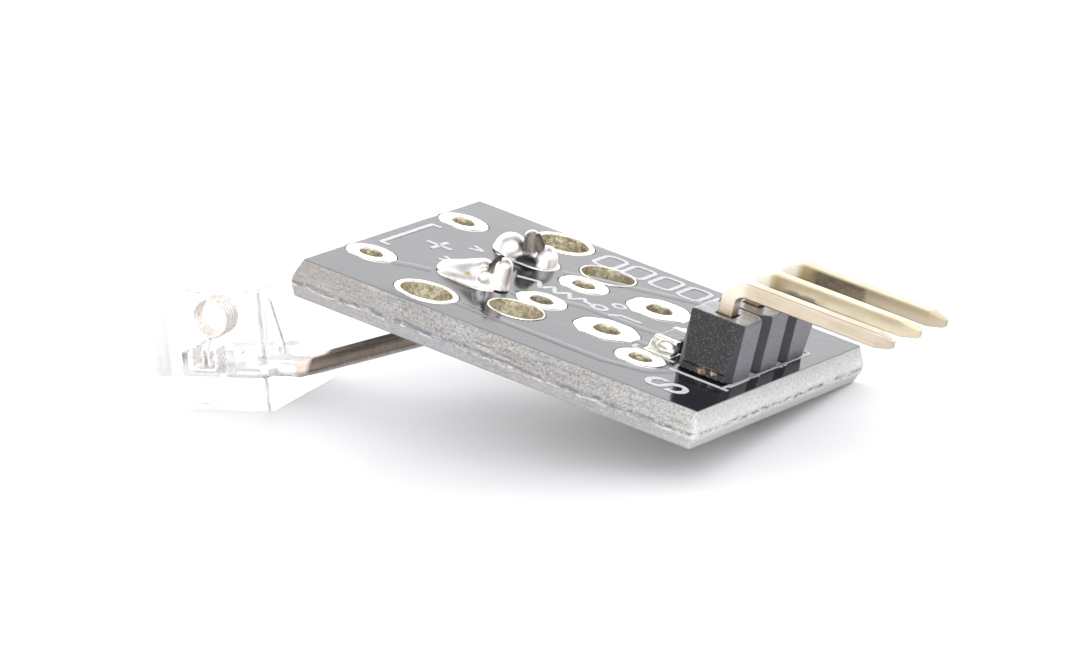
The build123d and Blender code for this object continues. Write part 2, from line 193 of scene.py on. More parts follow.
def nets(f, lo, hi, h):
    """closed skin of f < 0 on a grid of pitch h; f takes arrays x, y, z"""
    lo = np.array(lo, float)
    n = np.ceil((np.array(hi, float) - lo) / h).astype(int) + 1
    ax = [lo[i] + h * np.arange(n[i]) for i in range(3)]
    F = f(*np.meshgrid(*ax, indexing="ij"))
    S = F < 0
    shape = tuple(n - 1)
    acc, cnt = np.zeros(shape + (3,)), np.zeros(shape)
    for axis in range(3):
        others = [a for a in range(3) if a != axis]
        for b in (0, 1):
            for c in (0, 1):
                s0, s1, off = [None] * 3, [None] * 3, [0.0] * 3
                s0[axis], s1[axis] = slice(0, n[axis] - 1), slice(1, n[axis])
                for o, d in zip(others, (b, c)):
                    s0[o] = s1[o] = slice(d, n[o] - 1 + d)
                    off[o] = float(d)
                F0, F1 = F[tuple(s0)], F[tuple(s1)]
                cross = (F0 < 0) != (F1 < 0)
                t = np.where(cross, F0 / np.where(cross, F0 - F1, 1), 0)
                for a in range(3):
                    acc[..., a] += np.where(cross, t if a == axis else off[a], 0)
                cnt += cross
    used = cnt > 0
    ids = np.full(shape, -1)
    ids[used] = np.arange(used.sum())
    cell = np.argwhere(used)
    verts = lo + h * (cell + acc[used] / cnt[used][:, None])
    faces = []
    for axis in range(3):
        o1, o2 = [(1, 2), (2, 0), (0, 1)][axis]
        s0, s1 = [slice(1, n[i] - 1) for i in range(3)], [slice(1, n[i] - 1) for i in range(3)]
        s0[axis], s1[axis] = slice(0, n[axis] - 1), slice(1, n[axis])
        A, C = S[tuple(s0)], S[tuple(s1)]
        start = np.array([0 if i == axis else 1 for i in range(3)])
        for flip, mask in ((False, A & ~C), (True, ~A & C)):
            p = np.argwhere(mask) + start
            e1, e2 = np.zeros(3, int), np.zeros(3, int)
            e1[o1], e2[o2] = 1, 1
            q = [ids[tuple((p - d).T)] for d in (e1 * 0, e1, e1 + e2, e2)]
            q = np.stack(q, 1)
            faces.append(q[:, ::-1] if flip else q)
    return verts, np.concatenate(faces).tolist()


def smin(a, b, k):
    h = np.clip(0.5 + 0.5 * (b - a) / k, 0, 1)
    return b * (1 - h) + a * h - k * h * (1 - h)


def round_cone(x, y, z, a, b, r1, r2):
    a, b = np.array(a, float), np.array(b, float)
    ba = b - a
    px, py, pz = x - a[0], y - a[1], z - a[2]
    t = np.clip((px * ba[0] + py * ba[1] + pz * ba[2]) / (ba @ ba), 0, 1)
    return np.sqrt((px - t * ba[0]) ** 2 + (py - t * ba[1]) ** 2 + (pz - t * ba[2]) ** 2) - (r1 + (r2 - r1) * t)


def ellipsoid(x, y, z, c, r):
    k = np.sqrt(((x - c[0]) / r[0]) ** 2 + ((y - c[1]) / r[1]) ** 2 + ((z - c[2]) / r[2]) ** 2)
    return (k - 1) * min(r)


def sbox(x, y, z, lo, hi, r=0.0):
    c, h = [(a + b) / 2 for a, b in zip(lo, hi)], [(b - a) / 2 - r for a, b in zip(lo, hi)]
    q = [np.abs(p - m) - d for p, m, d in zip((x, y, z), c, h)]
    out = np.sqrt(sum(np.maximum(a, 0) ** 2 for a in q))
    return out + np.minimum(np.maximum(np.maximum(q[0], q[1]), q[2]), 0) - r


def fillet_path(pts, radii, step=8.0):
    """points along straight runs joined by arcs; step in degrees"""
    pts = [np.array(p, float) for p in pts]
    out = [pts[0]]
    for i in range(1, len(pts) - 1):
        p, a, c = pts[i], pts[i - 1], pts[i + 1]
        d1, d2 = (a - p) / np.linalg.norm(a - p), (c - p) / np.linalg.norm(c - p)
        ang = math.acos(max(-1, min(1, d1 @ d2)))
        turn = math.pi - ang
        r = radii[i - 1]
        tl = r * math.tan(turn / 2)
        centre = p + (d1 + d2) / np.linalg.norm(d1 + d2) * (r / math.cos(turn / 2))
        s = p + d1 * tl
        ax = np.cross(s - centre, p + d2 * tl - centre)
        ax /= np.linalg.norm(ax)
        k = max(3, int(math.degrees(turn) / step))
        for j in range(k + 1):
            q = turn * j / k
            v = s - centre
            out.append(centre + v * math.cos(q) + np.cross(ax, v) * math.sin(q))
    out.append(pts[-1])
    return np.array(out)


def resample(path, gap):
    path = np.asarray(path)
    d = np.r_[0, np.cumsum(np.linalg.norm(np.diff(path, axis=0), axis=1))]
    extra = []
    for i in range(len(path) - 1):
        k = max(1, int(math.ceil((d[i + 1] - d[i]) / gap)))
        extra += [path[i] + (path[i + 1] - path[i]) * j / k for j in range(k)]
    return np.array(extra + [path[-1]])


def tube_rings(path, radius, n=20, wobble=0.0, seed=3, end=0.06):
    """rings of a round wire with rounded ends; radius a number or a function of the way along"""
    path = np.asarray(path, float)
    s = np.r_[0, np.cumsum(np.linalg.norm(np.diff(path, axis=0), axis=1))]
    tan = np.gradient(path, axis=0)
    tan /= np.linalg.norm(tan, axis=1)[:, None]
    ref = np.array((0.0, 0.0, 1.0)) if abs(tan[0][2]) < 0.9 else np.array((0.0, 1.0, 0.0))
    nrm = np.cross(tan[0], ref)
    nrm /= np.linalg.norm(nrm)
    rings = []
    ang = np.linspace(0, 2 * math.pi, n, endpoint=False)
    for i, p in enumerate(path):
        nrm = nrm - tan[i] * (nrm @ tan[i])
        nrm /= np.linalg.norm(nrm)
        bi = np.cross(tan[i], nrm)
        r = radius(s[i]) if callable(radius) else radius
        rr = r * (1 + wobble * noise(np.cos(ang) * 1.7 + 9, np.sin(ang) * 1.7, s[i] * 2.0, seed))
        ring = p + np.outer(np.cos(ang) * rr, nrm) + np.outer(np.sin(ang) * rr, bi)
        rings.append(ring)
    first, last = rings[0], rings[-1]
    c0, c1 = path[0], path[-1]
    e = min(end, 0.4 * np.linalg.norm(path[1] - path[0]))
    rings[0] = c0 + (first - c0) * 0.8
    rings.insert(1, c0 + tan[0] * e + (first - c0))
    rings[-1] = c1 - tan[-1] * e + (last - c1)
    rings.append(c1 + (last - c1) * 0.8)
    return rings


# ================================================================ materials


class Mat:
    def __init__(self, name, axes=BOARD):
        self.axes = axes
        self.m = bpy.data.materials.new(name)
        self.m.use_nodes = True
        self.t = self.m.node_tree
        self.b = self.t.nodes["Principled BSDF"]
        self.o = None

    def node(self, kind, **kw):
        n = self.t.nodes.new(kind)
        for k, v in kw.items():
            setattr(n, k, v)
        return n

    def link(self, a, b):
        self.t.links.new(a, b)

    def mm(self, scale=(1, 1, 1), loc=(0, 0, 0), rot=(0, 0, 0)):
        """millimetres along the axes of the board (or the housing, or the row), times scale"""
        if self.o is None:
            back = self.axes.inverted()
            base = self.node("ShaderNodeMapping")
            base.inputs["Scale"].default_value = (1000.0, 1000.0, 1000.0)
            base.inputs["Rotation"].default_value = back.to_euler("XYZ")
            base.inputs["Location"].default_value = tuple(1000.0 * t for t in back.to_translation())
            self.link(self.node("ShaderNodeTexCoord").outputs["Object"], base.inputs["Vector"])
            self.o = base.outputs["Vector"]
        if tuple(scale) == (1, 1, 1):
            return self.o
        m = self.node("ShaderNodeMapping")
        m.inputs["Scale"].default_value = tuple(float(s) for s in scale)
        m.inputs["Location"].default_value = loc
        m.inputs["Rotation"].default_value = rot
        self.link(self.o, m.inputs["Vector"])
        return m.outputs["Vector"]

    def along(self, vec, axis):
        """how far a direction points along a fixed axis"""
        n = self.node("ShaderNodeVectorMath", operation="DOT_PRODUCT")
        self.link(vec, n.inputs[0])
        n.inputs[1].default_value = tuple(float(a) for a in axis)
        return n.outputs["Value"]

    def noise(self, vec, scale, detail=2.0, rough=0.5, dist=0.0):
        n = self.node("ShaderNodeTexNoise")
        n.inputs["Scale"].default_value = scale
        n.inputs["Detail"].default_value = detail
        n.inputs["Roughness"].default_value = rough
        n.inputs["Distortion"].default_value = dist
        self.link(vec, n.inputs["Vector"])
        return n.outputs["Fac"]

    def voronoi(self, vec, scale, feature="F1", out="Distance", rand=1.0):
        n = self.node("ShaderNodeTexVoronoi", feature=feature)
        n.inputs["Scale"].default_value = scale
        n.inputs["Randomness"].default_value = rand
        self.link(vec, n.inputs["Vector"])
        return n.outputs[out]

    def ramp(self, fac, stops, mode="LINEAR"):
        n = self.node("ShaderNodeValToRGB")
        n.color_ramp.interpolation = mode
        e = n.color_ramp.elements
        while len(e) < len(stops):
            e.new(0.5)
        for el, (p, c) in zip(e, stops):
            el.position = p
            el.color = (c, c, c, 1) if isinstance(c, (int, float)) else tuple(c) + (1,)
        self.link(fac, n.inputs["Fac"])
        return n.outputs["Color"]

    def mix(self, fac, a, b, mode="MIX"):
        n = self.node("ShaderNodeMix", data_type="RGBA", blend_type=mode)
        self.put(fac, n.inputs[0])
        self.put(a, n.inputs[6])
        self.put(b, n.inputs[7])
        return n.outputs[2]

    def put(self, v, sock):
        if isinstance(v, bpy.types.NodeSocket):
            self.link(v, sock)
        elif isinstance(v, (tuple, list)):
            sock.default_value = tuple(v) + ((1,) if len(v) == 3 and len(sock.default_value) == 4 else ())
        else:
            sock.default_value = v

    def math(self, op, a, b=0.0, clamp=False):
        n = self.node("ShaderNodeMath", operation=op, use_clamp=clamp)
        self.put(a, n.inputs[0])
        self.put(b, n.inputs[1])
        return n.outputs[0]

    def span(self, v, a, b, c=0.0, d=1.0):
        n = self.node("ShaderNodeMapRange")
        self.put(v, n.inputs["Value"])
        for k, x in zip(("From Min", "From Max", "To Min", "To Max"), (a, b, c, d)):
            n.inputs[k].default_value = x
        return n.outputs["Result"]

    def xyz(self, vec):
        n = self.node("ShaderNodeSeparateXYZ")
        self.link(vec, n.inputs[0])
        return n.outputs

    def bump(self, height, dist_mm, strength=1.0, normal=None):
        n = self.node("ShaderNodeBump")
        n.inputs["Strength"].default_value = strength
        n.inputs["Distance"].default_value = dist_mm * 0.001
        self.link(height, n.inputs["Height"])
        if normal is not None:
            self.link(normal, n.inputs["Normal"])
        return n.outputs["Normal"]

    def set(self, **kw):
        names = {"color": "Base Color", "rough": "Roughness", "metal": "Metallic", "ior": "IOR", "trans": "Transmission Weight",
                 "coat": "Coat Weight", "coat_rough": "Coat Roughness", "spec": "Specular IOR Level", "normal": "Normal",
                 "sheen": "Sheen Weight", "sss": "Subsurface Weight", "alpha": "Alpha", "coat_normal": "Coat Normal"}
        for k, v in kw.items():
            self.put(v, self.b.inputs[names[k]])
        return self


def mask_material():
    """black solder mask: gloss over a faint unevenness, and dust"""
    m = Mat("black_mask")
    p = m.mm()
    wide = m.noise(p, 0.55, 3, 0.55)
    fine = m.noise(p, 7.0, 3, 0.6)
    dust = m.noise(p, 26.0, 2, 0.5)
    col = m.ramp(wide, [(0.3, (0.0085, 0.0092, 0.0125)), (0.7, (0.0135, 0.0145, 0.0190))])
    col = m.mix(m.ramp(dust, [(0.66, 0.0), (0.76, 1.0)]), col, (0.045, 0.046, 0.050))
    rough = m.span(fine, 0.3, 0.7, 0.075, 0.135)
    n = m.bump(m.noise(p, 1.6, 2, 0.5), 0.010, 0.35)
    n = m.bump(fine, 0.0016, 0.5, n)
    m.b.inputs["Specular Tint"].default_value = (0.93, 0.965, 1.0, 1)
    return m.set(color=col, rough=rough, ior=1.52, normal=n).m


def fibre_material():
    """broken fibreglass edge: layers along the board, torn fibres, pale resin chips, a dark seam at the broken web with
    painted shade in its cracks, and painted light on the right end
    """
    m = Mat("fibreglass_edge")
    p = m.mm()
    s = m.xyz(p)
    layers = m.noise(m.mm((0.45, 0.45, 6.0)), 1.0, 3, 0.6, 0.5)
    streak = m.noise(m.mm((1.1, 1.1, 15.0)), 1.0, 3, 0.65, 0.7)
    speck = m.noise(p, 10.0, 3, 0.7)
    slow = m.noise(p, 0.55, 3, 0.6)
    col = m.ramp(layers, [(0.28, (0.215, 0.205, 0.19)), (0.5, (0.30, 0.288, 0.27)), (0.74, (0.40, 0.39, 0.375))])
    col = m.mix(m.ramp(slow, [(0.40, 0.55), (0.60, 0.0)]), col, (0.27, 0.275, 0.295))
    col = m.mix(m.ramp(speck, [(0.37, 0.9), (0.47, 0.0)]), col, (0.135, 0.132, 0.138))
    col = m.mix(m.ramp(speck, [(0.57, 0.0), (0.70, 0.85)]), col, (0.54, 0.53, 0.51))
    col = m.mix(m.ramp(streak, [(0.30, 0.75), (0.42, 0.0)]), col, (0.115, 0.115, 0.13))
    col = m.mix(m.ramp(streak, [(0.60, 0.0), (0.72, 0.6)]), col, (0.56, 0.55, 0.53))
    # the left end is browner; the right end is painted paler and a little green, painted light falling on that side,
    # and the front edge is painted a little paler towards it
    left = m.span(s[0], 7.0, 0.0)
    col = m.mix(m.math("MULTIPLY", left, 0.35), col, (0.31, 0.275, 0.23))
    right = m.math("MAXIMUM", m.span(s[0], 18.2, 18.75, 0.0, 0.88), m.span(s[0], 14.0, 18.7, 0.0, 0.275))
    col = m.mix(right, col, m.ramp(speck, [(0.34, (0.46, 0.475, 0.46)), (0.62, (0.70, 0.72, 0.69))]))
    warm = m.ramp(m.noise(p, 1.9, 3, 0.6), [(0.60, 0.0), (0.68, 0.45)])
    col = m.mix(m.math("MULTIPLY", warm, m.span(s[2], -0.62, -0.9)), col, (0.55, 0.44, 0.30))
    # lower bevel greyer
    col = m.mix(m.math("MULTIPLY", m.span(s[2], -1.02, -1.22), 0.35), col, (0.34, 0.345, 0.36))
    # torn seam, painted shade in the cracks along the broken web
    centre = m.math("ADD", m.math("MULTIPLY", m.math("SUBTRACT", m.noise(p, 1.2, 2, 0.5), 0.5), 0.22), -0.93)
    dist = m.math("ABSOLUTE", m.math("SUBTRACT", s[2], centre))
    seam = m.math("MULTIPLY", m.span(dist, 0.13, 0.03), m.ramp(m.noise(m.mm((1.0, 1.0, 3.0)), 1.9, 3, 0.7, 0.8), [(0.44, 0.0), (0.55, 1.0)]))
    col = m.mix(m.math("MULTIPLY", seam, 0.80), col, (0.105, 0.108, 0.130))
    light = m.math("MULTIPLY", m.span(m.math("ABSOLUTE", m.math("SUBTRACT", m.math("ADD", s[2], 0.14), centre)), 0.09, 0.02),
                   m.ramp(m.noise(m.mm((1.0, 1.0, 3.0)), 2.3, 3, 0.7, 0.8), [(0.48, 0.0), (0.58, 1.0)]))
    col = m.mix(m.math("MULTIPLY", light, 0.6), col, (0.66, 0.66, 0.65))
    # the cut edge of the mask
    top = m.span(m.math("ADD", s[2], m.math("MULTIPLY", speck, 0.06)), -0.030, 0.005)
    col = m.mix(m.math("MULTIPLY", top, 0.85), col, (0.09, 0.088, 0.092))
    bot = m.span(m.math("SUBTRACT", s[2], m.math("MULTIPLY", speck, 0.10)), -1.60, -1.66)
    col = m.mix(m.math("MULTIPLY", bot, 0.6), col, (0.16, 0.158, 0.16))
    n = m.bump(m.math("ADD", m.math("MULTIPLY", speck, 0.6), m.math("MULTIPLY", m.noise(p, 20.0, 2, 0.6), 0.35)), 0.035, 0.6)
    n = m.bump(streak, 0.05, 0.55, n)
    return m.set(color=col, rough=m.span(speck, 0.3, 0.7, 0.50, 0.80), ior=1.5, normal=n).m


def silk_material():
    m = Mat("silkscreen_ink")
    p = m.mm()
    a = m.noise(p, 9.0, 3, 0.6)
    col = m.ramp(a, [(0.33, (0.47, 0.49, 0.51)), (0.62, (0.66, 0.675, 0.68))])
    return m.set(color=col, rough=m.span(a, 0.3, 0.7, 0.42, 0.62), normal=m.bump(m.noise(p, 18.0, 2, 0.5), 0.010, 0.6)).m


def tin_material():
    """levelled tin: bright, slightly lumpy, with a few dull spots"""
    m = Mat("tinned_copper")
    p = m.mm()
    lump = m.noise(p, 1.7, 2, 0.5)
    fine = m.noise(p, 9.0, 3, 0.6)
    col = m.ramp(fine, [(0.30, (0.80, 0.775, 0.68)), (0.70, (0.93, 0.915, 0.85))])
    col = m.mix(m.ramp(m.noise(p, 4.2, 3, 0.65), [(0.62, 0.0), (0.74, 0.7)]), col, (0.62, 0.57, 0.45))
    n = m.bump(lump, 0.03, 0.5)
    n = m.bump(fine, 0.004, 0.6, n)
    return m.set(color=col, metal=1.0, rough=m.span(fine, 0.3, 0.7, 0.20, 0.36), normal=n).m


def barrel_material():
    """plating inside the holes: lumpy, flux-stained tin, brown gold between pale spots"""
    m = Mat("plated_barrel")
    p = m.mm()
    lump = m.noise(p, 4.5, 3, 0.6, 0.4)
    fine = m.noise(p, 12.0, 3, 0.65)
    col = m.ramp(lump, [(0.30, (0.36, 0.31, 0.19)), (0.48, (0.58, 0.52, 0.37)), (0.66, (0.82, 0.77, 0.62))])
    col = m.mix(m.ramp(fine, [(0.58, 0.0), (0.68, 0.9)]), col, (0.90, 0.87, 0.76))
    col = m.mix(m.ramp(fine, [(0.32, 0.6), (0.42, 0.0)]), col, (0.22, 0.19, 0.12))
    n = m.bump(lump, 0.06, 0.8)
    n = m.bump(fine, 0.02, 0.7, n)
    return m.set(color=col, metal=0.85, rough=m.span(fine, 0.3, 0.7, 0.32, 0.55), normal=n).m


def solder_material(name="solder", spots=(), tone=1.0):
    """hand solder: bright and satin on top, brownish flux in the hollows near the board; spots are (place, radius, colour, amount)"""
    m = Mat(name)
    p = m.mm()
    s = m.xyz(p)
    a = m.noise(p, 1.6, 2, 0.5)
    fine = m.noise(p, 10.0, 3, 0.6)
    col = m.ramp(a, [(0.30, (0.80 * tone, 0.775 * tone, 0.75 * tone ** 1.3)), (0.70, (0.95 * tone, 0.94 * tone, 0.92 * tone ** 1.3))])
    flux = m.math("MULTIPLY", m.span(s[2], 0.30, 0.03), m.ramp(m.noise(p, 2.6, 3, 0.6, 0.5), [(0.50, 0.0), (0.64, 1.0)]))
    col = m.mix(m.math("MULTIPLY", flux, 0.6), col, (0.42, 0.35, 0.22))
    for c, r, tint, amount in spots:
        d = m.node("ShaderNodeVectorMath", operation="DISTANCE")
        m.link(p, d.inputs[0])
        d.inputs[1].default_value = c
        near = m.math("ADD", d.outputs["Value"], m.math("MULTIPLY", m.math("SUBTRACT", fine, 0.5), 0.25 * r))
        col = m.mix(m.math("MULTIPLY", m.span(near, r, r * 0.7), amount), col, tint)
    n = m.bump(a, 0.02, 0.4)
    n = m.bump(fine, 0.003, 0.5, n)
    return m.set(color=col, metal=1.0, rough=m.span(fine, 0.3, 0.7, 0.30, 0.42), normal=n).m


def gold_material():
    """thin gold on brass wire: pale, drawn along the wire, stained olive near the bends of the last two and browner low
    on the stems; painted light on the last two towards their tips, painted dark reflections on the second and third,
    and a painted highlight on the bends
    """
    m = Mat("pin_gold")
    p = m.mm()
    s = m.xyz(p)
    drawn = m.noise(m.mm((0.5, 9.0, 9.0)), 1.0, 3, 0.6)
    patch = m.noise(p, 0.8, 2, 0.5)
    fine = m.noise(p, 16.0, 2, 0.5)
    col = m.ramp(patch, [(0.34, (0.465, 0.40, 0.30)), (0.66, (0.53, 0.46, 0.365))])
    col = m.mix(m.ramp(drawn, [(0.34, 0.45), (0.50, 0.0)]), col, (0.40, 0.32, 0.23))
    col = m.mix(m.ramp(m.noise(m.mm((1.2, 5.0, 5.0)), 1.6, 3, 0.65), [(0.60, 0.0), (0.72, 0.5)]), col, (0.62, 0.53, 0.46))
    far = m.span(s[1], 6.6, 7.0)
    last = m.span(s[1], 9.2, 9.6)
    # painted light: the last two pins are painted lighter towards their tips, making up for the dark neighbouring pin
    # they reflect
    col = m.mix(m.math("MULTIPLY", far, m.span(s[0], 17.0, 18.3, 0.5, 1.0)), col, m.ramp(patch, [(0.34, (0.55, 0.48, 0.33)), (0.66, (0.66, 0.58, 0.43))]))
    col = m.mix(m.math("MULTIPLY", last, 0.8), col, (0.47, 0.40, 0.285))
    torn = m.math("MULTIPLY", m.math("SUBTRACT", m.noise(p, 2.4, 3, 0.6, 0.4), 0.5), 0.9)
    at = m.math("ADD", s[0], torn)
    # the third pin: one dark blot with a sharp end, a painted dark reflection of the header and pins beside it
    blot = m.math("MULTIPLY", m.math("MULTIPLY", m.span(at, 17.55, 18.05), m.span(at, 20.35, 20.10)), m.span(s[2], 4.10, 4.00))
    blot = m.math("MULTIPLY", blot, m.ramp(m.noise(p, 6.0, 3, 0.65), [(0.34, 0.62), (0.60, 1.0)]))
    col = m.mix(m.math("MULTIPLY", m.math("MULTIPLY", blot, last), 0.94), col, (0.205, 0.175, 0.135))
    # the second pin: dark along its lower edge only, a painted dark reflection
    low = m.math("MULTIPLY", m.math("MULTIPLY", m.span(at, 17.6, 18.0), m.span(at, 19.5, 19.1)), m.span(m.math("ADD", s[2], m.math("MULTIPLY", torn, 0.3)), 3.74, 3.62))
    col = m.mix(m.math("MULTIPLY", m.math("MULTIPLY", low, m.math("SUBTRACT", far, last)), 0.9), col, (0.20, 0.175, 0.13))
    olive = m.math("MULTIPLY", m.math("MULTIPLY", far, m.span(s[0], 18.05, 17.5)), m.ramp(m.noise(p, 2.2, 2, 0.5), [(0.40, 0.4), (0.60, 0.9)]))
    col = m.mix(olive, col, (0.47, 0.39, 0.20))
    # painted highlight on the outer face of each bend, weaker on the first pin
    bend = m.math("MULTIPLY", m.span(m.math("ADD", s[0], m.math("MULTIPLY", patch, 0.2)), 17.46, 17.10), m.span(s[2], 2.75, 3.30))
    col = m.mix(m.math("MULTIPLY", bend, m.span(far, 0.0, 1.0, 0.6, 1.0)), col, (0.80, 0.74, 0.64))
    stem = m.span(s[2], 3.1, 2.6)
    col = m.mix(m.math("MULTIPLY", stem, m.ramp(fine, [(0.40, 0.75), (0.60, 0.25)])), col, (0.30, 0.22, 0.13))
    n = m.bump(drawn, 0.004, 0.4)
    n = m.bump(fine, 0.002, 0.4, n)
    return m.set(color=col, metal=1.0, rough=m.span(patch, 0.3, 0.7, 0.36, 0.28), normal=n).m


def header_material():
    """black moulded plastic: satin sides, notch facets painted dark as a painted reflection, top faces lighter in
    patches, darker towards the foot, rough where the strip was cut, glossy and burnt at the foot of the cut with
    painted orange glints
    """
    m = Mat("header_plastic")
    p = m.mm()
    s = m.xyz(p)
    face = m.node("ShaderNodeNewGeometry").outputs["Normal"]
    c = [m.along(face, axis) for axis in (U, V, W)]
    av, au = m.math("ABSOLUTE", c[1]), m.math("ABSOLUTE", c[0])
    ends = m.span(av, 0.84, 0.93)
    # facets between the sides and the ends: a painted dark reflection
    painted_dark_facet = m.math("MULTIPLY", m.span(au, 0.95, 0.86), m.math("MULTIPLY", m.span(av, 0.30, 0.42), m.math("SUBTRACT", 1.0, ends)))
    fine = m.noise(p, 15.0, 3, 0.75)
    grain = m.noise(p, 8.0, 3, 0.7)
    satin = m.noise(p, 22.0, 3, 0.7)
    patchy = m.noise(p, 2.4, 3, 0.65)
    col = m.ramp(satin, [(0.33, (0.070, 0.070, 0.082)), (0.50, (0.118, 0.116, 0.136)), (0.70, (0.27, 0.265, 0.295))])
    # top faces lighter in patches
    top = m.span(c[2], 0.80, 0.95)
    col = m.mix(m.math("MULTIPLY", top, m.ramp(patchy, [(0.44, 0.15), (0.60, 0.75)])), col, (0.30, 0.285, 0.27))
    # darker towards the foot
    low = m.math("MULTIPLY", m.span(s[2], 0.55, 0.10), m.ramp(patchy, [(0.40, 0.9), (0.60, 0.3)]))
    col = m.mix(low, col, (0.028, 0.027, 0.030))
    col = m.mix(m.math("MULTIPLY", painted_dark_facet, 0.92), col, m.ramp(satin, [(0.35, (0.006, 0.006, 0.009)), (0.66, (0.022, 0.021, 0.028))]))
    rough_col = m.ramp(fine, [(0.35, (0.008, 0.008, 0.009)), (0.55, (0.021, 0.020, 0.022)), (0.69, (0.15, 0.146, 0.152))])
    col = m.mix(ends, col, rough_col)
    # glossy black melted plastic at the foot of the cut end, with painted orange-brown glints and paler painted
    # highlights
    foot = m.math("MULTIPLY", ends, m.span(m.math("ADD", s[2], m.math("MULTIPLY", m.math("SUBTRACT", s[0], 15.5), 0.05)), 0.56, 0.47))
    glint_spots = m.noise(p, 3.0, 2, 0.6)
    here = m.math("MULTIPLY", m.span(s[0], 16.15, 16.45), m.span(s[0], 17.25, 16.95))
    burnt = m.mix(m.math("MULTIPLY", here, m.ramp(glint_spots, [(0.46, 0.0), (0.56, 1.0)])), (0.006, 0.005, 0.006), (0.15, 0.085, 0.045))
    burnt = m.mix(m.math("MULTIPLY", here, m.ramp(glint_spots, [(0.56, 0.0), (0.64, 1.0)])), burnt, (0.46, 0.35, 0.25))
    col = m.mix(foot, col, burnt)
    r = m.math("ADD", 0.42, m.math("MULTIPLY", ends, 0.26))
    r = m.math("SUBTRACT", r, m.math("MULTIPLY", top, 0.20))
    r = m.math("SUBTRACT", r, m.math("MULTIPLY", foot, 0.52), True)
    amount = m.math("MULTIPLY", m.math("ADD", m.math("MULTIPLY", ends, 0.95), 0.05), m.math("ADD", fine, grain))
    n = m.bump(amount, 0.05, 0.8)
    n = m.bump(satin, 0.004, 0.5, n)
    return m.set(color=col, rough=r, ior=1.55, normal=n).m


def chip_material():
    m = Mat("resistor_glaze")
    p = m.mm()
    a = m.noise(p, 8.0, 3, 0.6)
    col = m.ramp(a, [(0.35, (0.020, 0.020, 0.024)), (0.66, (0.060, 0.060, 0.066))])
    return m.set(color=col, rough=m.span(a, 0.3, 0.7, 0.10, 0.20), ior=1.55, normal=m.bump(a, 0.006, 0.4)).m


def lead_material(name, under):
    """tinned steel wire: dark on the side towards the board and lighter below, painted reflections of the board's
    underside and of the floor; a painted reddish highlight towards the housing, and painted near white where it is
    moulded in
    """
    m = Mat(name, ROWM)
    p = m.mm()
    s = m.xyz(p)
    band = m.noise(m.mm((2.6, 0.7, 0.7)), 1.0, 4, 0.7, 0.3)
    fine = m.noise(p, 12.0, 3, 0.6)
    geo = m.node("ShaderNodeNewGeometry")
    up = m.xyz(geo.outputs["Normal"])[2]
    edge = m.math("ADD", up, m.math("MULTIPLY", m.math("SUBTRACT", band, 0.5), 0.5))
    # dark on the side towards the board, lighter below: painted reflections of the board's black underside and of the
    # floor
    col = m.ramp(fine, [(0.30, (0.048, 0.043, 0.038)), (0.70, (0.092, 0.083, 0.074))])
    col = m.mix(m.span(edge, 0.50, -0.25), col, m.ramp(fine, [(0.30, (0.150, 0.125, 0.100)), (0.70, (0.25, 0.21, 0.17))]))
    # reddish towards the housing end, pale at the tip: painted highlight
    col = m.mix(m.math("MULTIPLY", m.span(s[0], -9.2, -11.2), m.ramp(band, [(0.36, 0.2), (0.62, 0.8)])), col, (0.24, 0.19, 0.165))
    # bright strip along the underside: painted reflection of the floor, scaled by under
    col = m.mix(m.math("MULTIPLY", m.span(edge, -0.50, -0.80), under), col, (0.60, 0.57, 0.54))
    painted_tip_highlight = m.math("ADD", m.math("ADD", s[0], m.math("MULTIPLY", fine, 0.3)), m.math("MULTIPLY", up, -0.16))
    col = m.mix(m.span(painted_tip_highlight, -10.90, -11.25), col, (0.80, 0.69, 0.62))
    # inside the housing painted near white and barely metallic: painted light, standing in for the haze of the clear
    # plastic over it
    inside = m.span(s[0], -11.85, -12.2)
    col = m.mix(inside, col, (0.96, 0.95, 0.94))
    n = m.bump(band, 0.015, 0.5)
    n = m.bump(fine, 0.006, 0.5, n)
    m.set(color=col, metal=m.span(s[0], -12.3, -11.9, 0.15, 0.95), rough=m.span(band, 0.3, 0.7, 0.36, 0.50), normal=n)
    m.m.node_tree.nodes["Principled BSDF"].inputs["Specular Tint"].default_value = (0.30, 0.28, 0.27, 1)
    return m.m


def wire_material(name, dark, light, bright_below=None, metal=0.9):
    m = Mat(name, HOUSE)
    p = m.mm()
    a = m.noise(p, 6.0, 3, 0.6)
    col = m.ramp(a, [(0.32, dark), (0.68, light)])
    if bright_below is not None:
        col = m.mix(m.span(m.xyz(p)[0], bright_below + 0.1, bright_below - 0.1), col, (0.95, 0.93, 0.90))
    return m.set(color=col, metal=metal, rough=m.span(a, 0.3, 0.7, 0.22, 0.38), normal=m.bump(a, 0.004, 0.4)).m


def clear_material(name, amount=1.0, haze=0.03):
    """clear moulded polystyrene: fine flow lines down the walls, slight waviness, dust and a breath of haze"""
    m = Mat(name, HOUSE)
    p = m.mm()
    lines = m.noise(m.mm((6.5, 6.5, 0.12)), 1.0, 2, 0.5)
    wave = m.noise(p, 0.8, 2, 0.5)
    dust = m.noise(p, 20.0, 3, 0.6)
    n = m.bump(lines, 0.004 * amount, 0.55)
    n = m.bump(wave, 0.02 * amount, 0.35, n)
    rough = m.ramp(dust, [(0.55, 0.02), (0.78, 0.12)])
    m.set(color=(0.99, 0.99, 0.995), rough=rough, trans=1.0 - haze, ior=1.16, normal=n)
    return m.m


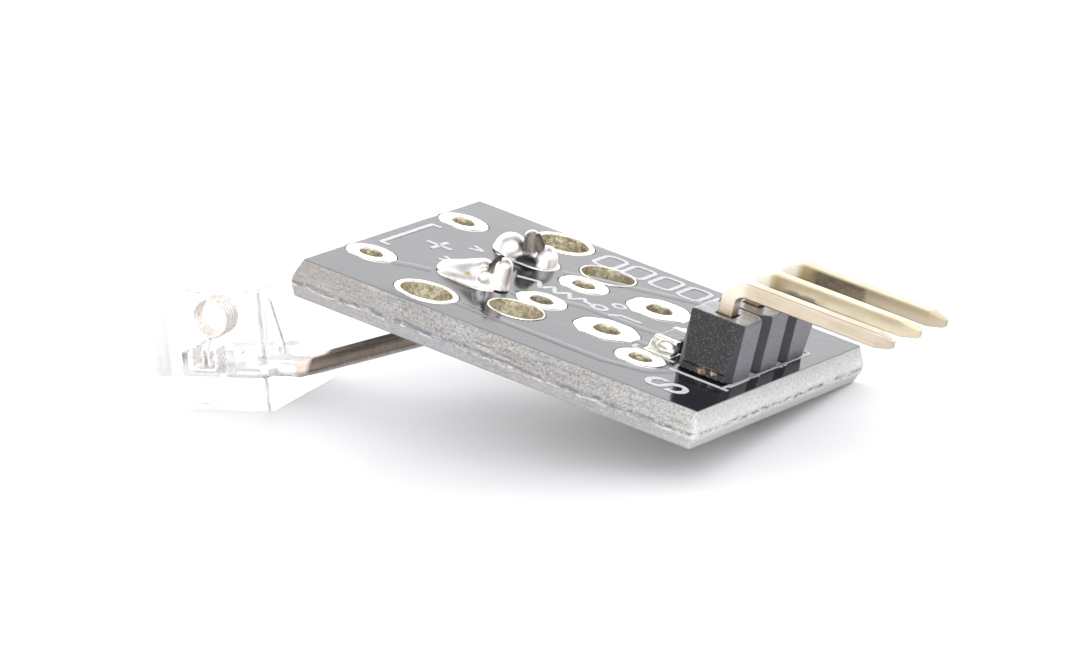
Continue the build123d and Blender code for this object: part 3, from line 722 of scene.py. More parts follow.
def floor_material():
    m = Mat("pale_table", ROWM)
    p = m.mm()
    a = m.noise(p, 0.02, 2, 0.5)
    b = m.noise(p, 1.4, 3, 0.6)
    col = m.ramp(a, [(0.3, (0.875, 0.873, 0.885)), (0.7, (0.885, 0.884, 0.892))])
    return m.set(color=col, rough=0.6, spec=0.2, normal=m.bump(b, 0.004, 0.3)).m


MASK, FIBRE, SILK = mask_material(), fibre_material(), silk_material()
TIN, BARREL, SOLDER, GOLD = tin_material(), barrel_material(), solder_material(), gold_material()
SOLDER_R = solder_material("resistor_solder_metal", tone=0.80)
# front joint: a pinkish patch round the lead's stub, and a small painted gold glint near the pad
SOLDER_1 = solder_material("solder_front_metal", [((6.62, 5.30, 0.80), 0.62, (0.62, 0.55, 0.55), 0.8), ((5.15, 4.62, 0.42), 0.14, (0.80, 0.58, 0.22), 0.9)])
# rear joint: the stub and the solder's foot in front of it painted near black, painted shadow and reflection of the
# stub with some dark flux residue
SOLDER_2 = solder_material("solder_rear_metal", [((5.17, 10.08, 0.76), 0.60, (0.085, 0.075, 0.062), 0.92), ((5.42, 9.42, 0.10), 0.62, (0.030, 0.028, 0.028), 0.97)])
PLASTIC, CHIP = header_material(), chip_material()
# the front lead carries the painted floor reflection along its underside, the rear one none
LEAD_F, LEAD_B = lead_material("front_lead_metal", 1.0), lead_material("rear_lead_metal", 0.0)
SPRING = wire_material("spring_wire", (0.74, 0.68, 0.61), (0.90, 0.86, 0.80))
CLIP = wire_material("clip_metal", (0.88, 0.85, 0.82), (0.96, 0.945, 0.92), metal=0.55)
CONTACT = wire_material("contact_wire_metal", (0.62, 0.56, 0.44), (0.84, 0.78, 0.66), 3.85)
CLEAR, CLEAR_IN = clear_material("clear_cover"), clear_material("clear_base", 2.0, 0.04)


def placed(ob, slot, *names):
    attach(ob, "root")
    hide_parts(*names)
    return ob


# ================================================================ outlines of the pads
NP = 64
ANG = np.linspace(0, 2 * math.pi, NP, endpoint=False)


def outline(sdf, off=0.0):
    """radius in each direction where the outline's distance is off"""
    lo, hi = np.zeros(NP), np.full(NP, 6.0)
    for _ in range(40):
        mid = (lo + hi) / 2
        inside = sdf(mid * np.cos(ANG), mid * np.sin(ANG)) < off
        lo, hi = np.where(inside, mid, lo), np.where(inside, hi, mid)
    return lo


def disc(r):
    return lambda x, y: np.hypot(x, y) - r


def slot_shape(length, width, cx):
    h = (length - width) / 2
    return lambda x, y: np.hypot(np.maximum(np.abs(x - cx) - h, 0), y) - width / 2


def octagon(ap):
    def f(x, y):
        return np.max([x * math.cos(k * math.pi / 4) + y * math.sin(k * math.pi / 4) for k in range(8)], axis=0) - ap
    return f


def rect(a, b):
    return lambda x, y: np.maximum(np.abs(x) - a, np.abs(y) - b)


def trimmed(r, dx, dy, keep):
    """a disc cut back from a neighbour ring at dx, dy; the cut doesn't move when the outline grows"""
    def f(x, y):
        return np.maximum(np.hypot(x, y) - r, -(np.hypot(x - dx, y - dy) - keep))
    return f


PADS = []      # (group, centre, hole radius, outline)
for c in MOUNT:
    PADS.append(("large", c, 1.10, disc(1.36)))
for c in THIN:
    PADS.append(("large", c, 1.15, disc(1.22)))
for c in SMALL:
    f = disc(1.08)
    for t in THIN:
        if math.hypot(c[0] - t[0], c[1] - t[1]) < 2.35:
            f = trimmed(1.08, t[0] - c[0], t[1] - c[1], 1.26)
    PADS.append(("small", c, 0.50, f))
for c in LINK:
    PADS.append(("link", c, 0.58, lambda x, y: np.maximum(octagon(1.36)(x, y), np.hypot(x, y) - 1.415)))
for v in SENSOR_V:
    PADS.append(("sensor", (SENSOR_U, v), 0.50, slot_shape(2.9, 2.0, -0.65)))
for k in (-1, 0, 1):
    PADS.append(("header", (HU, CV + k * PITCH), 0.50, disc(0.85)))
RES_PADS = [(RES_U, RES_V - 1.05), (RES_U, RES_V + 1.05)]


def loop_at(c, radius, w):
    return np.stack([c[0] + radius * np.cos(ANG), c[1] + radius * np.sin(ANG), np.full(NP, float(w))], 1)


# ================================================================ printed board
def board_perimeter(d, rc, nu=300, nv=250, nc=7):
    """points round the board, d outside the top edge, with corner radius rc; anticlockwise from above"""
    x0, x1, y0, y1 = -d, L + d, -d, B + d
    pts, nrm = [], []
    sides = [((x0 + rc, y0), (x1 - rc, y0), nu, (0, -1)), ((x1, y0 + rc), (x1, y1 - rc), nv, (1, 0)),
             ((x1 - rc, y1), (x0 + rc, y1), nu, (0, 1)), ((x0, y1 - rc), (x0, y0 + rc), nv, (-1, 0))]
    corners = [((x1 - rc, y0 + rc), -90), ((x1 - rc, y1 - rc), 0), ((x0 + rc, y1 - rc), 90), ((x0 + rc, y0 + rc), 180)]
    for (a, b, n, m), (c, deg) in zip(sides, corners):
        for i in range(n + 1):
            t = i / n
            pts.append((a[0] + (b[0] - a[0]) * t, a[1] + (b[1] - a[1]) * t))
            nrm.append(m)
        for j in range(1, nc):
            q = math.radians(deg + 90 * j / nc)
            pts.append((c[0] + rc * math.cos(q), c[1] + rc * math.sin(q)))
            nrm.append((math.cos(q), math.sin(q)))
    return np.array(pts), np.array(nrm)


rows = []
for k in range(13):
    t = k / 12
    rows.append((0.30 * t, -0.75 * t))
rows += [(0.30, -0.83), (0.30, -0.90), (0.30, -0.97), (0.30, -1.05)]
for k in range(1, 10):
    t = k / 9
    rows.append((0.30 - 0.22 * t, -1.05 - 0.55 * t))

board = Mesh()
band = []
for i, (d, w) in enumerate(rows):
    rc = 0.07 + 0.55 * d
    p, n = board_perimeter(d, rc)
    x, y = p[:, 0], p[:, 1]
    edge = i in (0, len(rows) - 1)
    rough = 0.016 * fbm(x * 9, y * 9, w * 9, 5) + 0.010 * fbm(x * 1.5, y * 1.5, w * 14, 8)
    # the broken web: a torn ridge with cracks along its upper side
    web = math.exp(-((w + 0.93) / 0.13) ** 2)
    tear = 0.035 * fbm(x * 2.3, y * 2.3, w * 3 + 7, 11) + 0.03 * noise(x * 7, y * 7, w * 5, 13)
    crack = -0.06 * smoothstep(0.10, 0.45, fbm(x * 1.4, y * 1.4, w * 4 + 3, 21)) * math.exp(-((w + 1.0) / 0.05) ** 2)
    out = (0.35 if edge else 1.0) * rough + web * tear + crack - (0.012 if not edge else 0.004)
    lift = 0.0 if edge else 0.012 * fbm(x * 6, y * 6, w * 6, 31)
    if i == 0:
        out = out - 0.012 * np.abs(noise(x * 5.5, y * 5.5, 0, 41))
    q = p + n * out[:, None]
    ww = np.full(len(q), float(w)) + lift
    if i == 0:
        ww -= 0.010
    band.append(np.column_stack([q, ww]))
# rows run down, points run anticlockwise, so the skin faces out when flipped
board.rings(band, idx=1, flip=True)

MASK_TOP, LAM = 0.0, -0.03


def sheet(outer, loops, w, idx, up):
    """flat sheet with openings"""
    pts = [Vector((float(a), float(b))) for a, b in outer[:, :2]]
    edges = [(i, (i + 1) % len(pts)) for i in range(len(pts))]
    n0 = len(pts)
    for lp in loops:
        s = len(pts)
        pts += [Vector((float(a), float(b))) for a, b in lp[:, :2]]
        edges += [(s + i, s + (i + 1) % len(lp)) for i in range(len(lp))]
    vo, _, fo, ov, _, _ = delaunay_2d_cdt(pts, edges, [], 0, 1e-7)
    co = np.array([(p.x, p.y) for p in vo])
    orig = np.array([o[0] if o else -1 for o in ov])
    tri = np.array(fo)
    cen = co[tri].mean(1)

    def inside(poly, c):
        x, y = poly[:, 0], poly[:, 1]
        x2, y2 = np.roll(x, -1), np.roll(y, -1)
        hit = np.zeros(len(c), int)
        for a, b, a2, b2 in zip(x, y, x2, y2):
            if b == b2:
                continue
            cond = (b > c[:, 1]) != (b2 > c[:, 1])
            hit += cond & (c[:, 0] < (a2 - a) * (c[:, 1] - b) / (b2 - b) + a)
        return hit % 2 == 1

    keep = inside(outer[:, :2], cen)
    for lp in loops:
        near = np.hypot(*(cen - lp[:, :2].mean(0)).T) < 3.0
        drop = np.zeros(len(cen), bool)
        drop[near] = inside(lp[:, :2], cen[near])
        keep &= ~drop
    tri = tri[keep]
    a, b, c = co[tri[:, 0]], co[tri[:, 1]], co[tri[:, 2]]
    area = (b[:, 0] - a[:, 0]) * (c[:, 1] - a[:, 1]) - (b[:, 1] - a[:, 1]) * (c[:, 0] - a[:, 0])
    tri = tri[np.abs(area) > 1e-9]
    area = area[np.abs(area) > 1e-9]
    wrong = (area > 0) != up
    tri[wrong] = tri[wrong][:, ::-1]
    z = np.full(len(co), float(w))
    ok = (orig >= 0) & (orig < n0)
    z[ok] = outer[orig[ok], 2]
    board.add(np.column_stack([co, z]), tri.tolist(), idx)


def board_face(outer, w_mask, w_lam, up):
    loops = []
    for group, c, hole, f in PADS:
        r = outline(f, 0.05)
        if group == "small" and abs(c[0] - 8.10) < 0.01:
            r = np.minimum(r, outline(trimmed(1.13, next(t for t in THIN if abs(t[1] - c[1]) < 3)[0] - c[0],
                                              next(t for t in THIN if abs(t[1] - c[1]) < 3)[1] - c[1], 1.285)))
        opening = loop_at(c, r, w_mask)
        loops.append(opening)
        rim = loop_at(c, np.maximum(r - 0.012, hole + 0.06), w_lam)
        low = loop_at(c, np.full(NP, hole + 0.045), w_lam)
        board.rings([opening, rim], idx=0, flip=not up)
        board.rings([rim, low], idx=1, flip=not up)
    if up:
        for c in RES_PADS:
            r = outline(rect(0.66, 0.5), 0.05)
            opening = loop_at(c, r, w_mask)
            loops.append(opening)
            rim = loop_at(c, r - 0.012, w_lam)
            board.rings([opening, rim, loop_at(c, r * 0.02, w_lam)], idx=0, flip=not up)
    sheet(outer, loops, w_mask, 0, up)


board_face(band[0], MASK_TOP, LAM, True)
board_face(band[-1], -T, -T - LAM, False)
for group, c, hole, f in PADS:
    board.rings([loop_at(c, np.full(NP, hole + 0.045), LAM), loop_at(c, np.full(NP, hole + 0.045), -T - LAM)], idx=1)


def ribbon(target, pts, width, w, height, idx, closed=False, slope=0.02, ragged=0.0, seed=7, down=False):
    """a flat raised strip along a line in the board's plane"""
    pts = np.asarray(pts, float)
    if closed:
        pts = np.vstack([pts, pts[0]])
    pts = resample(np.column_stack([pts, np.zeros(len(pts))]), 0.09)[:, :2]
    d = np.gradient(pts, axis=0)
    if closed:
        d[0] = d[-1] = pts[1] - pts[-2]
    d /= np.linalg.norm(d, axis=1)[:, None]
    n = np.column_stack([-d[:, 1], d[:, 0]])
    hw = width / 2
    left = hw * (1 + ragged * noise(pts[:, 0] * 6, pts[:, 1] * 6, 1.5, seed))
    right = hw * (1 + ragged * noise(pts[:, 0] * 6, pts[:, 1] * 6, 7.5, seed + 1))
    h = -height if down else height
    cols = []
    for off, z in ((left + slope, 0), (left, h), (-right, h), (-right - slope, 0)):
        cols.append(np.column_stack([pts + n * off[:, None], np.full(len(pts), w + z)]))
    ring = [np.array([c[i] for c in cols]) for i in range(len(pts))]
    target.rings(ring, idx=idx, closed=False, flip=not down)
    if not closed:
        for r, s in ((ring[0], not down), (ring[-1], down)):
            target.add(r, [[0, 1, 2, 3] if s else [3, 2, 1, 0]], idx)


def arc(cx, cy, r, a0, a1, n=18):
    q = np.radians(np.linspace(a0, a1, n))
    return np.column_stack([cx + r * np.cos(q), cy + r * np.sin(q)])


def round_rect(x0, x1, y0, y1, r, n=6):
    return np.vstack([arc(x1 - r, y0 + r, r, -90, 0, n), arc(x1 - r, y1 - r, r, 0, 90, n),
                      arc(x0 + r, y1 - r, r, 90, 180, n), arc(x0 + r, y0 + r, r, 180, 270, n)])


# copper lines under the mask, both faces
TRACES = [
    ([(2.20, 3.62), (2.85, 4.12), (3.60, 4.45)], 0.50), ([(6.90, 5.40), (7.60, 6.30), (9.60, 7.10), (12.20, 7.10), (13.45, 7.40)], 0.42),
    ([(14.80, 7.45), (15.60, 7.80)], 0.42), ([(14.80, 5.30), (15.60, 5.26)], 0.42), ([(6.80, 10.30), (8.0, 11.0), (12.0, 12.9), (15.2, 12.9), (16.3, 11.2)], 0.42),
    ([(6.28, 1.72), (13.2, 1.72), (14.9, 2.35), (16.1, 4.6)], 0.35), ([(12.75, 5.41), (13.35, 5.41)], 0.42),
]
for pts, wd in TRACES:
    ribbon(board, pts, wd, MASK_TOP, 0.006, 0, slope=0.10)
for pts, wd in TRACES[:4]:
    ribbon(board, [(a, B - b) for a, b in pts], wd, -T, 0.006, 0, slope=0.10, down=True)

# white ink: plain outlines and marks only
INK = 0.015


def ink(pts, width=0.16, closed=False, rag=0.22, seed=5):
    width *= 1.25
    ribbon(board, pts, width, MASK_TOP, INK, 2, closed=closed, slope=0.008, ragged=rag, seed=seed)


ink([(15.30, 3.72), (18.02, 3.70)], 0.15, seed=3)
ink([(17.74, 3.72), (17.74, 11.90), (15.30, 11.90)], 0.10, seed=4)
ink([(17.66, 6.20), (17.66, 6.92)], 0.30, rag=0.5, seed=9)
ink([(17.66, 8.72), (17.66, 9.46)], 0.30, rag=0.5, seed=19)
ink([(17.86, 4.1), (17.84, 6.0)], 0.05, rag=0.7, seed=29)
ink([(13.10, 4.62), (15.05, 4.62)], 0.14, seed=12)
ink([(13.10, 4.62), (13.10, 5.10)], 0.14, seed=13)
ink([(13.10, 8.25), (15.05, 8.25)], 0.14, seed=14)
# S, the usual mark of the signal pin, and a minus by the last pin
S = []
for q in np.linspace(-35, 250, 22):
    S.append((0.40 * math.cos(math.radians(q)), 0.40 + 0.38 * math.sin(math.radians(q))))
S2 = [(-x, -y) for x, y in S][::-1]
glyph = S + S2
ink([(16.24 - 1.02 * y, 1.62 + 1.25 * x) for x, y in glyph], 0.20, rag=0.25, seed=23)
ink([(16.25, 13.35), (16.25, 14.35)], 0.22, seed=24)
# a row of plain hollow boxes along the back edge
for i in range(6):
    a = 6.75 + i * 1.36
    ink(round_rect(a, a + 0.98, 12.95, 14.62, 0.30), 0.15, closed=True, seed=30 + i)
# generic symbol of a spring contact in the middle
zig = [(5.95, 7.72)]
for i in range(7):
    zig.append((6.85 + i * 0.36, 7.72 + (0.34 if i % 2 == 0 else -0.34)))
zig += [(9.25, 7.72), (9.55, 7.72)]
ink(zig, 0.15, seed=40)
ink(arc(9.90, 7.72, 0.30, 0, 354, 26), 0.14, closed=True, seed=41)
ink([(10.55, 7.20), (10.95, 7.72), (11.9, 7.72)], 0.15, seed=42)
ink(arc(10.30, 8.75, 0.26, 0, 354, 22), 0.12, closed=True, seed=45)
# outline of the sensor where it would stand, at the left
ink([(1.0, 5.55), (0.55, 5.55), (0.55, 10.05), (1.0, 10.05)], 0.15, seed=43)
ink([(2.15, 7.1), (2.15, 8.5)], 0.16, seed=44)
ink([(1.55, 7.8), (2.75, 7.8)], 0.16, seed=46)
for v in (6.45, 9.1):
    ink([(3.0, v - 0.3), (3.55, v), (3.0, v + 0.3)], 0.14, seed=47)

board_ob = placed(board.build("board_with_mask", [MASK, FIBRE, SILK], BOARD, angle=55), "board", "printed_board")


# ================================================================ plated holes and pads
def eyelets(name, group, node):
    m = Mesh()
    for gi, (g, c, hole, f) in enumerate(PADS):
        if g != group:
            continue
        r = outline(f)
        seed = 50 + gi
        rings, idx = [], []
        lump = lambda a, b, s: fbm(c[0] * 3 + a * 1.7, c[1] * 3 + b * 1.7, s, seed)
        ca, sa = np.cos(ANG), np.sin(ANG)

        def face(sign, w0):
            out = []
            for fr, h in ((0.0, -0.028), (0.03, 0.012), (0.12, 0.032), (0.3, 0.042), (0.55, 0.046), (0.80, 0.040), (0.93, 0.026), (0.985, 0.004)):
                rr = r + (hole - r) * fr
                hh = h + (0.006 * lump(rr * ca * 1.5, rr * sa * 1.5, 3.0) if 0.05 < fr < 0.9 else 0)
                lp = loop_at(c, rr, w0)
                lp[:, 2] += sign * hh
                out.append(lp)
            return out

        top = face(1, 0.0)
        bottom = face(-1, -T)[::-1]
        mid = []
        for i in range(13):
            w = -0.03 - (T - 0.06) * i / 12
            rr = hole + 0.014 * fbm(ca * 3.1 + 5, sa * 3.1, w * 3.0, seed + 7) + 0.005 * noise(ca * 9, sa * 9, w * 9, seed)
            rr = np.clip(rr, hole - 0.02, hole + 0.03)
            mid.append(loop_at(c, rr, w))
        rings = top + mid + bottom
        idx = [0] * (len(top) - 1) + [1] * (len(mid) + 1) + [0] * (len(bottom) - 1)
        m.rings(rings, idx=idx[:len(rings) - 1])
    return placed(m.build(name, [TIN, BARREL], BOARD, angle=60), "plating", node)


eyelets("large_hole_plating", "large", "large_plated_holes")
eyelets("small_hole_plating", "small", "small_plated_holes")
eyelets("link_pad_plating", "link", "link_pads")
eyelets("sensor_pad_plating", "sensor", "sensor_pads")
eyelets("header_pad_plating", "header", "header_pads")

m = Mesh()
for c in RES_PADS:
    r = outline(rect(0.66, 0.5))
    rr = [loop_at(c, r * s, z) for s, z in ((1.0, -0.028), (0.985, 0.015), (0.95, 0.03), (0.7, 0.036), (0.3, 0.038), (0.02, 0.038))]
    m.rings(rr, idx=0, caps=(False, True))
placed(m.build("resistor_lands", [TIN], BOARD, angle=60), "plating", "resistor_pads")

# ================================================================ chip resistor
def chip_body(x, y, z):
    d = sbox(x, y, z, (RES_U - 0.52, RES_V - 0.97, 0.07), (RES_U + 0.52, RES_V + 0.97, 0.50), 0.03)
    glaze = sbox(x, y, z, (RES_U - 0.46, RES_V - 0.66, 0.40), (RES_U + 0.46, RES_V + 0.66, 0.535), 0.03)
    return np.minimum(d, glaze) + 0.006 * fbm(x * 9, y * 9, z * 9, 61)


vf = nets(chip_body, (RES_U - 0.62, RES_V - 1.06, 0.0), (RES_U + 0.62, RES_V + 1.06, 0.62), 0.03)
placed(make("chip_resistor_body", vf[0], vf[1], [CHIP], BOARD, angle=50), "chip", "resistor_body")

m = Mesh()
for s in (-1, 1):
    ve = RES_V + s
    lo_v, hi_v = sorted((ve, ve - s * 0.36))

    def cap(x, y, z):
        edge = 0.03 * noise(x * 4, y * 0, z * 4, 63)
        d = sbox(x, y, z, (RES_U - 0.55, lo_v - (edge if s > 0 else 0), 0.04), (RES_U + 0.55, hi_v + (edge if s < 0 else 0), 0.545), 0.05)
        return d + 0.010 * fbm(x * 5, y * 5, z * 5, 64)

    vf = nets(cap, (RES_U - 0.66, lo_v - 0.12, -0.02), (RES_U + 0.66, hi_v + 0.12, 0.66), 0.035)
    m.add(*vf)
placed(m.build("chip_resistor_ends", [SOLDER_R], BOARD, angle=60), "solder", "resistor_end_caps")

m = Mesh()
for s in (-1, 1):
    ve = RES_V + s

    def fillet_shape(x, y, z):
        d = (y - ve) * s
        side = np.maximum(np.abs(x - RES_U) - 0.50, 0)
        height = 0.03 + 0.40 * np.exp(-np.maximum(d, 0) / 0.17) * (1 - 0.35 * smoothstep(0.0, 0.14, side))
        g = (z - height) * 0.55
        g = np.maximum(g, d - 0.50 + 0.25 * (x - RES_U) ** 2)
        g = np.maximum(g, -d - 0.10)
        g = np.maximum(g, np.abs(x - RES_U) - 0.62 + 0.12 * np.maximum(d, 0))
        g = np.maximum(g, 0.0 - z + 0.02)
        lump = ellipsoid(x, y, z, (RES_U - 0.12 * s, ve + s * 0.10, 0.30), (0.40, 0.17, 0.25))
        return smin(g, lump, 0.08) + 0.012 * fbm(x * 5, y * 5, z * 5, 66 + s)

    vf = nets(fillet_shape, (RES_U - 0.75, min(ve - 0.15 * s, ve + 0.65 * s) - 0.05, -0.03), (RES_U + 0.75, max(ve - 0.15 * s, ve + 0.65 * s) + 0.05, 0.66), 0.035)
    m.add(*vf)
placed(m.build("chip_resistor_solder", [SOLDER_R], BOARD, angle=60), "solder", "resistor_solder_joints")

# ================================================================ header strip
hu0, hu1, hv0, hv1 = HU - 1.25, HU + 1.25, CV - 3.81, CV + 3.81


def strip(x, y, z):
    cut0 = 0.022 * fbm(x * 7, 3.0 + 0 * y, z * 7, 71) + 0.016 * noise(x * 17, 0 * y, z * 17, 72)
    cut1 = 0.022 * fbm(x * 7, 9.0 + 0 * y, z * 7, 73) + 0.016 * noise(x * 17, 0 * y, z * 17, 74)
    foot = 0.10 * smoothstep(0.42, 0.34, z)
    # the front end was snapped off at a slant
    slant = (hv0 + 0.05 + 0.172 * z + cut0 + foot - y) / 1.0147
    d = np.maximum(np.abs(x - HU) - 1.25, np.maximum(slant, y - hv1 + 0.02 + cut1 + foot))
    d = np.maximum(d, np.maximum(0.05 - z, z - 2.54))
    for k in (-1.5, -0.5, 0.5):
        v = CV + k * PITCH
        for side in (-1, 1):
            ua = HU + side * (1.25 - 0.45)
            wedge = (np.abs(y - v) * 0.9 - (x - ua) * side) / math.sqrt(1.81)
            d = np.maximum(d, -wedge)
        if k < -1:
            continue
        groove = np.maximum(np.abs(y - v) - 0.045 - 0.35 * np.maximum(z - 2.46, 0), 2.54 - 0.26 - z)
        d = np.maximum(d, -groove)
    # the cut at the far end leaves part of a notch at each corner, wider at the foot
    for side in (-1, 1):
        lean = 0.30 * (1 - np.clip(z / 2.4, 0, 1))
        g = ((x - HU) * side - 1.25 + lean) * 0.72 + (y - hv1 + lean * 0.9) * 0.68
        d = np.maximum(d, np.where(lean > 0.005, g, -9.0))
    # chamfered top edges and pockets round the pins
    d = np.maximum(d, (np.abs(x - HU) - 1.25 + (z - 2.54) + 0.07) * 0.707)
    for k in (-1, 0, 1):
        v = CV + k * PITCH
        pocket = sbox(x, y, z, (HU - 0.40, v - 0.40, 2.34), (HU + 0.40, v + 0.40, 2.9), 0.02)
        d = np.maximum(d, -pocket)
        # standoff hollow under each block
        d = np.maximum(d, -sbox(x, y, z, (HU - 0.80, v - 0.55, -0.2), (HU + 0.80, v + 0.55, 0.18), 0.02))
    return d


vf = nets(strip, (hu0 - 0.1, hv0 - 0.1, -0.05), (hu1 + 0.1, hv1 + 0.1, 2.64), 0.042)
placed(make("header_strip", vf[0], vf[1], [PLASTIC], BOARD, angle=32), "header", "header_insulator")


def pin_mesh(name, v, node, seed):
    """square wire with rounded corners, one bend and blunt points"""
    half, cr = 0.32, 0.045
    w_low = -T - 0.98
    p = fillet_path([(HU, 0, w_low), (HU, 0, 3.80), (HU + 7.31, 0, 3.80)], [0.72], 6)
    d = np.r_[0, np.cumsum(np.linalg.norm(np.diff(p, axis=0), axis=1))]
    total = d[-1]
    marks = np.unique(np.r_[d, 0.05, 0.25, 0.5, total - 0.74, total - 0.70, total - 0.66, total - 0.35, total - 0.05, np.arange(0.6, total - 0.8, 0.45)])
    pts = np.column_stack([np.interp(marks, d, p[:, i]) for i in range(3)])
    tan = np.gradient(pts, marks, axis=0)
    tan /= np.linalg.norm(tan, axis=1)[:, None]
    sec = []
    for cx, cy, a0 in ((1, 1, 0), (-1, 1, 90), (-1, -1, 180), (1, -1, 270)):
        lead_in, lead_out = math.radians(a0), math.radians(a0 + 90)
        sec.append((cx * (half - cr) + cr * math.cos(lead_in) + 0.03 * math.sin(lead_in), cy * (half - cr) + cr * math.sin(lead_in) - 0.03 * math.cos(lead_in)))
        for q in (0, 30, 60, 90):
            a = math.radians(a0 + q)
            sec.append((cx * (half - cr) + cr * math.cos(a), cy * (half - cr) + cr * math.sin(a)))
        sec.append((cx * (half - cr) + cr * math.cos(lead_out) - 0.03 * math.sin(lead_out), cy * (half - cr) + cr * math.sin(lead_out) + 0.03 * math.cos(lead_out)))
    sec = np.array(sec)
    rings = []
    for s, c, t in zip(marks, pts, tan):
        nrm = np.array((t[2], 0, -t[0]))
        k = 1.0
        if s > total - 0.70:
            k = 1 - 0.46 * (s - total + 0.70) / 0.70
        if s < 0.25:
            k = 0.58 + 0.42 * s / 0.25
        if s == marks[0] or s == marks[-1]:
            k *= 0.86
        bulge = 1 + 0.03 * math.exp(-((s - (3.80 + T + 0.98)) / 0.5) ** 2)
        jit = 1 + 0.006 * float(noise(s * 1.3, seed, 0.5, seed))
        rings.append(c + np.array((0, v, 0)) + np.outer(sec[:, 0] * k * jit * bulge, (0, 1, 0)) + np.outer(sec[:, 1] * k * jit, nrm))
    m = Mesh()
    m.rings(rings, caps=(True, True))
    return placed(m.build(name, [GOLD], BOARD, angle=50), "pin_gold", node)


pin_mesh("pin_signal", CV - PITCH, "signal_pin", 81)
pin_mesh("pin_supply", CV, "supply_pin", 82)
pin_mesh("pin_ground", CV + PITCH, "ground_pin", 83)

# ================================================================ solder
m = Mesh()
for k in (-1, 0, 1):
    v = CV + k * PITCH
    rings = []
    for r, w in ((0.84, -T - 0.03), (0.80, -T - 0.07), (0.70, -T - 0.12), (0.60, -T - 0.20), (0.53, -T - 0.30), (0.47, -T - 0.42), (0.43, -T - 0.52), (0.36, -T - 0.58), (0.18, -T - 0.60)):
        rr = r * (1 + 0.045 * noise(np.cos(ANG) * 1.5, np.sin(ANG) * 1.5, w * 2 + k * 5, 90 + k))
        rings.append(loop_at((HU, v), rr, w + 0.0))
    m.rings(rings, flip=False)
placed(m.build("header_solder", [SOLDER], BOARD, angle=60), "solder", "header_solder_joints")

V1, V2 = SENSOR_V


def joint_front(x, y, z):
    d = ellipsoid(x, y, z, (4.92, V1, -0.04), (1.36, 0.96, 0.50))
    d = smin(d, round_cone(x, y, z, (4.00, V1 - 0.04, 0.02), (5.50, V1 + 0.04, 0.52), 0.40, 0.50), 0.26)
    d = smin(d, round_cone(x, y, z, (6.34, V1 + 0.02, 0.05), (6.36, V1 + 0.08, 0.96), 0.46, 0.39), 0.09)
    d = smin(d, ellipsoid(x, y, z, (5.80, V1 - 0.38, 0.36), (0.31, 0.30, 0.40)), 0.08)
    d = d + 0.010 * fbm(x * 1.8, y * 1.8, z * 1.8, 95)
    return np.maximum(d, 0.012 - z)


def joint_rear(x, y, z):
    d = ellipsoid(x, y, z, (4.92, V2, -0.04), (1.36, 0.96, 0.42))
    d = smin(d, ellipsoid(x, y, z, (4.22, V2 - 0.04, 0.12), (0.72, 0.70, 0.74)), 0.22)
    d = smin(d, round_cone(x, y, z, (5.28, V2 - 0.22, 0.05), (5.10, V2 - 0.16, 0.98), 0.40, 0.33), 0.07)
    d = smin(d, ellipsoid(x, y, z, (5.88, V2 + 0.04, 0.10), (0.46, 0.60, 0.74)), 0.12)
    d = d + 0.010 * fbm(x * 1.8, y * 1.8, z * 1.8, 97)
    return np.maximum(d, 0.012 - z)


def below(x, y, z, v):
    """the solder that came through to the underside"""
    r = np.hypot(x - SENSOR_U, y - v)
    return ellipsoid(x, y, z, (SENSOR_U, v, -T - 0.01), (0.92, 0.86, 0.20)) + 0.01 * fbm(x * 3, y * 3, z * 3, 99) + 0 * r


for name, f, v, node, metal in (("solder_front", joint_front, V1, "front_solder_joint", SOLDER_1), ("solder_rear", joint_rear, V2, "rear_solder_joint", SOLDER_2)):
    m = Mesh()
    vf = nets(f, (3.3, v - 1.4, -0.05), (7.3, v + 1.4, 1.55), 0.042)
    m.add(*vf)
    vf = nets(lambda x, y, z: np.maximum(below(x, y, z, v), z + T + 0.012), (4.6, v - 1.1, -T - 0.3), (6.8, v + 1.1, -T + 0.06), 0.05)
    m.add(*vf)
    placed(m.build(name, [metal], BOARD, angle=80), "solder", node)

# ================================================================ leads
LEAD_Z, LEAD_Y = 1.26, (2.20, 3.34)


def lead_mesh(name, x0, y, v, top, node, seed, radius, metal):
    pts = [house_pt(x0, y, LEAD_Z), house_pt(5.95, y, LEAD_Z), board_pt(SENSOR_U, v, -T - 0.20), board_pt(SENSOR_U, v, 0.30), board_pt(*top)]
    path = resample(fillet_path(pts, [0.45, 0.40, 0.45], 7), 0.16)
    rings = tube_rings(path, radius, 24, 0.012, seed)
    n = len(rings)
    for i in range(n):
        k = 1 - 0.16 * smoothstep(n - 13.0, n - 9.0, float(i))
        c = np.asarray(rings[i]).mean(axis=0)
        rings[i] = c + (np.asarray(rings[i]) - c) * k
    m = Mesh()
    m.rings(rings, caps=(True, True), flip=True)
    return placed(m.build(name, [metal], ROWM, angle=40), "lead", node)


lead_mesh("lead_front", 2.62, LEAD_Y[0], V1, (6.30, V1 + 0.10, 1.26), "front_sensor_lead", 101, 0.345, LEAD_F)
lead_mesh("lead_rear", 3.37, LEAD_Y[1], V2, (5.12, V2 - 0.16, 1.10), "rear_sensor_lead", 102, 0.345, LEAD_B)

# ================================================================ sensor
cover = nodes["sensor_cover"]
cover.data.materials.clear()
cover.data.materials.append(CLEAR)

